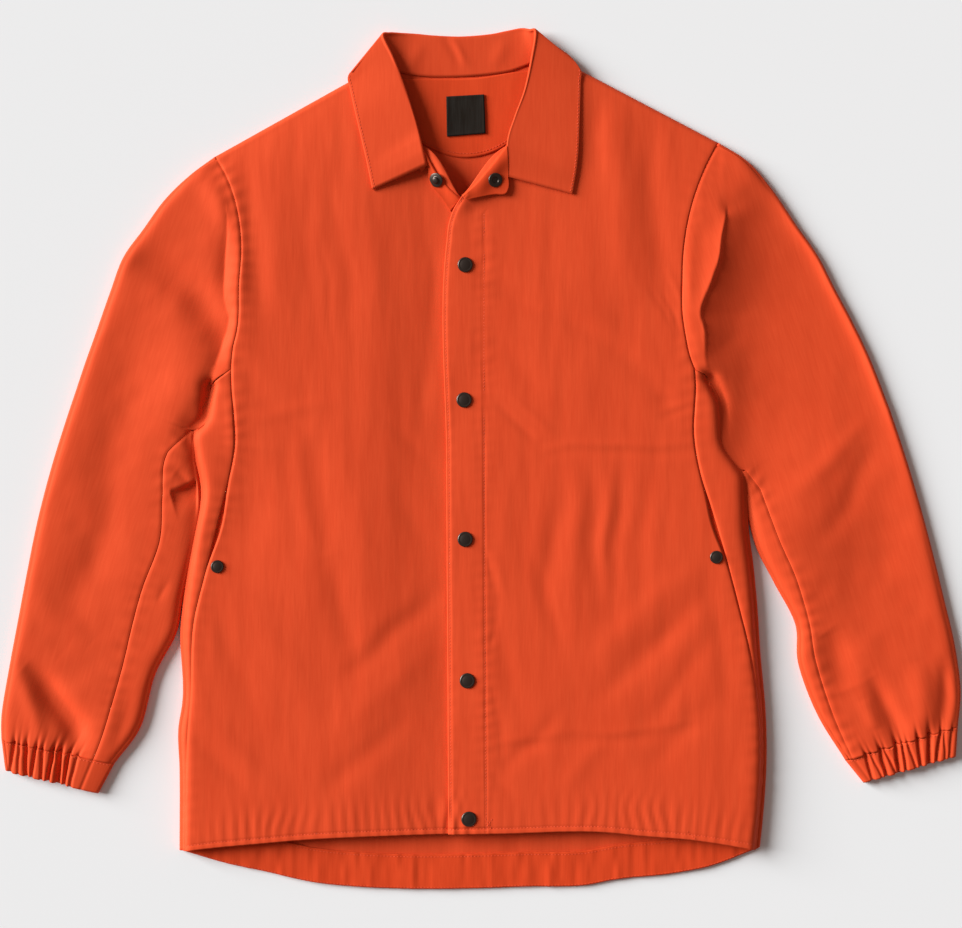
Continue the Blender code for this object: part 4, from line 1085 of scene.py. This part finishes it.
# Stations round the neck: fold line, outer edge, neck seam, and the angle the collar lies back from falling
Station = namedtuple("Station", "fold_x fold_y edge_x edge_y neck_x neck_y turn")
COLLAR = [
    Station(-52, 276, -103, 254, -56, 271, 0),
    Station(-62, 316, -109, 283, -74, 301, 0),
    Station(-73, 351, -117, 317, -86, 332, 15),
    Station(-84, 380, -124, 348, -91, 355, 45),
    Station(-93, 400, -126, 363.5, -93, 367, 80),
    Station(-87, 403, -113, 374, -87, 369, 110),
    Station(-75, 403, -97, 380, -78, 367, 145),
    Station(-60, 402.2, -70, 374, -62, 364.3, 172),
    Station(-45, 400.8, -45, 370, -45, 362.8, 180),
    Station(-20, 399.8, -20, 370, -20, 363, 180),
    Station(7, 401.8, 7, 372, 7, 365, 180),
    Station(25, 405.2, 31, 379, 26, 367.7, 172),
    Station(38, 407.5, 57, 389, 42, 373, 145),
    Station(46, 406, 77, 388, 52, 377, 110),
    Station(52, 403.5, 94.5, 369, 59, 372, 80),
    Station(48, 376, 95, 354, 59, 352, 45),
    Station(42, 348, 94, 321, 52, 330, 15),
    Station(33, 323, 93, 292, 44, 311, 0),
    Station(26, 299, 91, 272, 35, 294, 0),
    Station(26, 266, 87, 250, 30, 270, 0),
]
COLLAR_STEPS = 190
COLLAR_FOLD_RADIUS = 1.5
COLLAR_FRONT_LIFT = 2.4
COLLAR_SIDE_HEIGHT = 10.5
COLLAR_BACK_HEIGHT = 3.4
COLLAR_NECK_SIDE = 4.1
COLLAR_GAP = 0.6
COLLAR_STITCH_INSET = 2.6
COLLAR_STITCH_FROM = 0.2
FALL_WAVES = [Grain(0.5, 40, 71)]
STAND_STEPS = 14
BOW_ANGLES = (-72, -54, -36, -18, 0, 18, 36, 54, 72)
FALL_STEPS = 40
STAND_CREASES = [
    Crease(4.5, 0.9, SHARP, [(-29, 398), (-14, 373)]),
    Crease(4.5, -0.7, SOFT, [(-36, 398), (-22, 373)]),
    Crease(7, 0.7, SOFT, [(-72, 372), (-60, 392)]),
    Crease(6, 0.7, SOFT, [(22, 398), (14, 374)]),
]
table = np.array(COLLAR, float)
stops = np.arange(len(table), dtype=float)
rows = along(table, stops, stops[-1] * even(COLLAR_STEPS))
fold, edge, neck = rows[:, 0:2], rows[:, 2:4], rows[:, 4:6]
turn = np.radians(np.clip(rows[:, 6], 0, 180))[:, None]
run = unit(np.gradient(fold, axis=0))
out = np.stack([-run[:, 1], run[:, 0], np.zeros(len(run))], axis=1)
up = np.array([0.0, 0.0, 1.0])
to_fall = np.cos(turn) * up + np.sin(turn) * out
apex = np.sin(turn) * up - np.cos(turn) * out
front = np.clip(np.cos(turn[:, 0]), 0, 1)
behind = np.clip(-np.cos(turn[:, 0]), 0, 1)
aside = 1 - front - behind
lying = COLLAR_CLOTH + LAID_GAP
fold_z = (front * (body_top(fold) + COLLAR_FRONT_LIFT) + aside * COLLAR_SIDE_HEIGHT
          + behind * COLLAR_BACK_HEIGHT)
neck_z = front * (body_top(neck) + COLLAR_GAP) + aside * COLLAR_NECK_SIDE + behind * (lying + CLOTH)
edge_z = front * (body_top(edge) + COLLAR_CLOTH + COLLAR_GAP) + aside * (2 * FOLD_RADIUS + lying)
centre = raised(fold, fold_z)
stand = np.linspace(raised(neck, neck_z), centre - COLLAR_FOLD_RADIUS * to_fall, STAND_STEPS + 1, axis=1)
stand[..., 2] += behind[:, None] * creased(stand[..., :2], STAND_CREASES)
fall = np.linspace(centre + COLLAR_FOLD_RADIUS * to_fall, raised(edge, edge_z), FALL_STEPS + 1, axis=1)
fall[..., 2] += front[:, None] * uneven(fall[..., :2], FALL_WAVES)
bow = [centre + COLLAR_FOLD_RADIUS * (math.sin(angle) * to_fall + math.cos(angle) * apex)
       for angle in np.radians(BOW_ANGLES)]
grid = np.concatenate([stand, np.stack(bow, axis=1), fall], axis=1)
collar = cloth("collar_band", grid, COLLAR_CLOTH, shell, ["collar"], shown=-1.0)
inset = fall[:, -1] + unit(fall[:, -2] - fall[:, -1]) * COLLAR_STITCH_INSET
shows = np.nonzero(front > COLLAR_STITCH_FROM)[0]
halves = np.split(shows, np.nonzero(np.diff(shows) > 1)[0] + 1)
rows = [inset[half] + (0, 0, STITCH_LIFT) for half in halves]
collar_stitches = sewn("collar_stitches", rows, thread)

# The snaps: pressed caps of dark oxidised metal down the placket and beside the pockets, and an open
# socket and a stud on the turned corners at the neck. Each is riveted through the cloth.
FRONT_SNAPS = [(-15, 183), (-16, 55), (-15, -77), (-13, -211), (-11.5, -342)]
POCKET_SNAPS = {"right": (-250, -103), "left": (223, -94)}
NECK_STUD = (-41, 264)
NECK_SOCKET = (12.5, 263.5)
FRONT_SNAP_RADIUS = 7.3
POCKET_SNAP_RADIUS = 6.2
NECK_SNAP_RADIUS = 6.8
SNAP_HEIGHT = 2.2
SNAP_SIDES = 40
SLOPE_STEP = 3.0
# Half sections from the foot to the middle: share of the radius, share of the height
CAP_PROFILE = [(0.9, 0.0), (0.97, 0.1), (1.0, 0.28), (0.97, 0.5), (0.9, 0.68), (0.82, 0.74), (0.76, 0.66),
               (0.7, 0.66), (0.6, 0.76), (0.42, 0.88), (0.22, 0.95), (0.0, 0.97)]
STUD_PROFILE = [(1.0, 0.0), (1.0, 0.22), (0.94, 0.32), (0.62, 0.36), (0.5, 0.4), (0.44, 0.6), (0.46, 1.1),
                (0.42, 1.35), (0.3, 1.5), (0.0, 1.52)]
SOCKET_PROFILE = [(0.96, 0.0), (1.0, 0.2), (1.0, 0.5), (0.93, 0.72), (0.82, 0.78), (0.7, 0.7), (0.6, 0.74),
                  (0.52, 0.74), (0.44, 0.6), (0.42, 0.2), (0.2, 0.12), (0.14, 0.3), (0.0, 0.34)]
METAL_COLOUR = (0.075, 0.055, 0.045)
MERGE_DISTANCE = 1e-6
metal = painted("snap_metal", METAL_COLOUR, roughness=0.36, metallic=0.85)


def pressed(name, at, radius, side, lift, profile, stands_for):
    """A round metal piece turned from its half section and set square on the cloth."""
    x, y = at
    ways = np.array([(0, 0), (1, 0), (-1, 0), (0, 1), (0, -1)])
    level = front_top(side, np.array(at) + SLOPE_STEP * ways)
    normal = Vector((level[2] - level[1], level[4] - level[3], 2 * SLOPE_STEP)).normalized()
    turn = Vector((0, 0, 1)).rotation_difference(normal).to_matrix().to_4x4()
    foot = Vector((x, y, level.mean())) + normal * lift
    bm = bmesh.new()
    points = [bm.verts.new((radius * share * MM, 0, SNAP_HEIGHT * rise * MM)) for share, rise in profile]
    edges = [bm.edges.new(pair) for pair in zip(points[:-1], points[1:])]
    bmesh.ops.spin(bm, geom=points + edges, cent=(0, 0, 0), axis=(0, 0, 1), angle=2 * math.pi,
                   steps=SNAP_SIDES, use_merge=True)
    bmesh.ops.remove_doubles(bm, verts=bm.verts, dist=MERGE_DISTANCE)
    bmesh.ops.holes_fill(bm, edges=[edge for edge in bm.edges if edge.is_boundary])
    bmesh.ops.recalc_face_normals(bm, faces=bm.faces)
    bmesh.ops.transform(bm, matrix=Matrix.Translation(foot * MM) @ turn, verts=bm.verts)
    mesh = bpy.data.meshes.new(name)
    bm.to_mesh(mesh)
    bm.free()
    obj = placed(name, mesh, metal)
    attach(obj, "root")
    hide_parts(stands_for)


for number, at in enumerate(FRONT_SNAPS, 1):
    pressed(f"front_cap_{number}", at, FRONT_SNAP_RADIUS, "left", LAID_GAP, CAP_PROFILE,
            f"front_snap_{number}")
for side, at in POCKET_SNAPS.items():
    pressed(f"pocket_cap_{side}", at, POCKET_SNAP_RADIUS, side, LAID_GAP, CAP_PROFILE,
            f"pocket_snap_{side}")
on_lapel = LAPEL_LIFT + FACING + LAID_GAP
pressed("neck_stud", NECK_STUD, NECK_SNAP_RADIUS, "right", on_lapel, STUD_PROFILE, "neck_snap_stud")
pressed("neck_socket", NECK_SOCKET, NECK_SNAP_RADIUS, "left", on_lapel, SOCKET_PROFILE, "neck_snap_socket")

# The ground, the light and the camera: a plain white table, one large soft light from the upper left with
# a dim warm room round it, and a camera straight above the jacket.
FLOOR_SIZE = 6.0
FLOOR_COLOUR = (0.86, 0.86, 0.86)
KEY_STRENGTH = 6.5
KEY_COLOUR = (0.98, 1.02, 1.04)
KEY_SPREAD = 34.0
KEY_TURN = (68.0, 0.0, 250.0)
ROOM_COLOUR = (1.0, 0.82, 0.75)
ROOM_STRENGTH = 0.21
CAMERA_PLACE = (0.0, -0.0057, 2.2)
CAMERA_LENS = 86.35
bm = bmesh.new()
bmesh.ops.create_grid(bm, x_segments=1, y_segments=1, size=FLOOR_SIZE / 2)
mesh = bpy.data.meshes.new("floor")
bm.to_mesh(mesh)
bm.free()
floor = placed("floor", mesh, painted("white_table", FLOOR_COLOUR, roughness=0.85, metallic=0.0))

sun = bpy.data.lights.new("key_light", "SUN")
sun.energy = KEY_STRENGTH
sun.color = KEY_COLOUR
sun.angle = math.radians(KEY_SPREAD)
key = bpy.data.objects.new("key_light", sun)
key.rotation_euler = [math.radians(angle) for angle in KEY_TURN]
bpy.context.scene.collection.objects.link(key)
world = bpy.data.worlds.new("room")
world.use_nodes = True
room = world.node_tree.nodes["Background"]
room.inputs["Color"].default_value = (*ROOM_COLOUR, 1.0)
room.inputs["Strength"].default_value = ROOM_STRENGTH
bpy.context.scene.world = world

lens = bpy.data.cameras.new("camera")
lens.sensor_width = 36.0
lens.lens = CAMERA_LENS
camera = bpy.data.objects.new("camera", lens)
camera.location = CAMERA_PLACE
bpy.context.scene.collection.objects.link(camera)
bpy.context.scene.camera = camera
bpy.context.scene.view_settings.view_transform = "Standard"
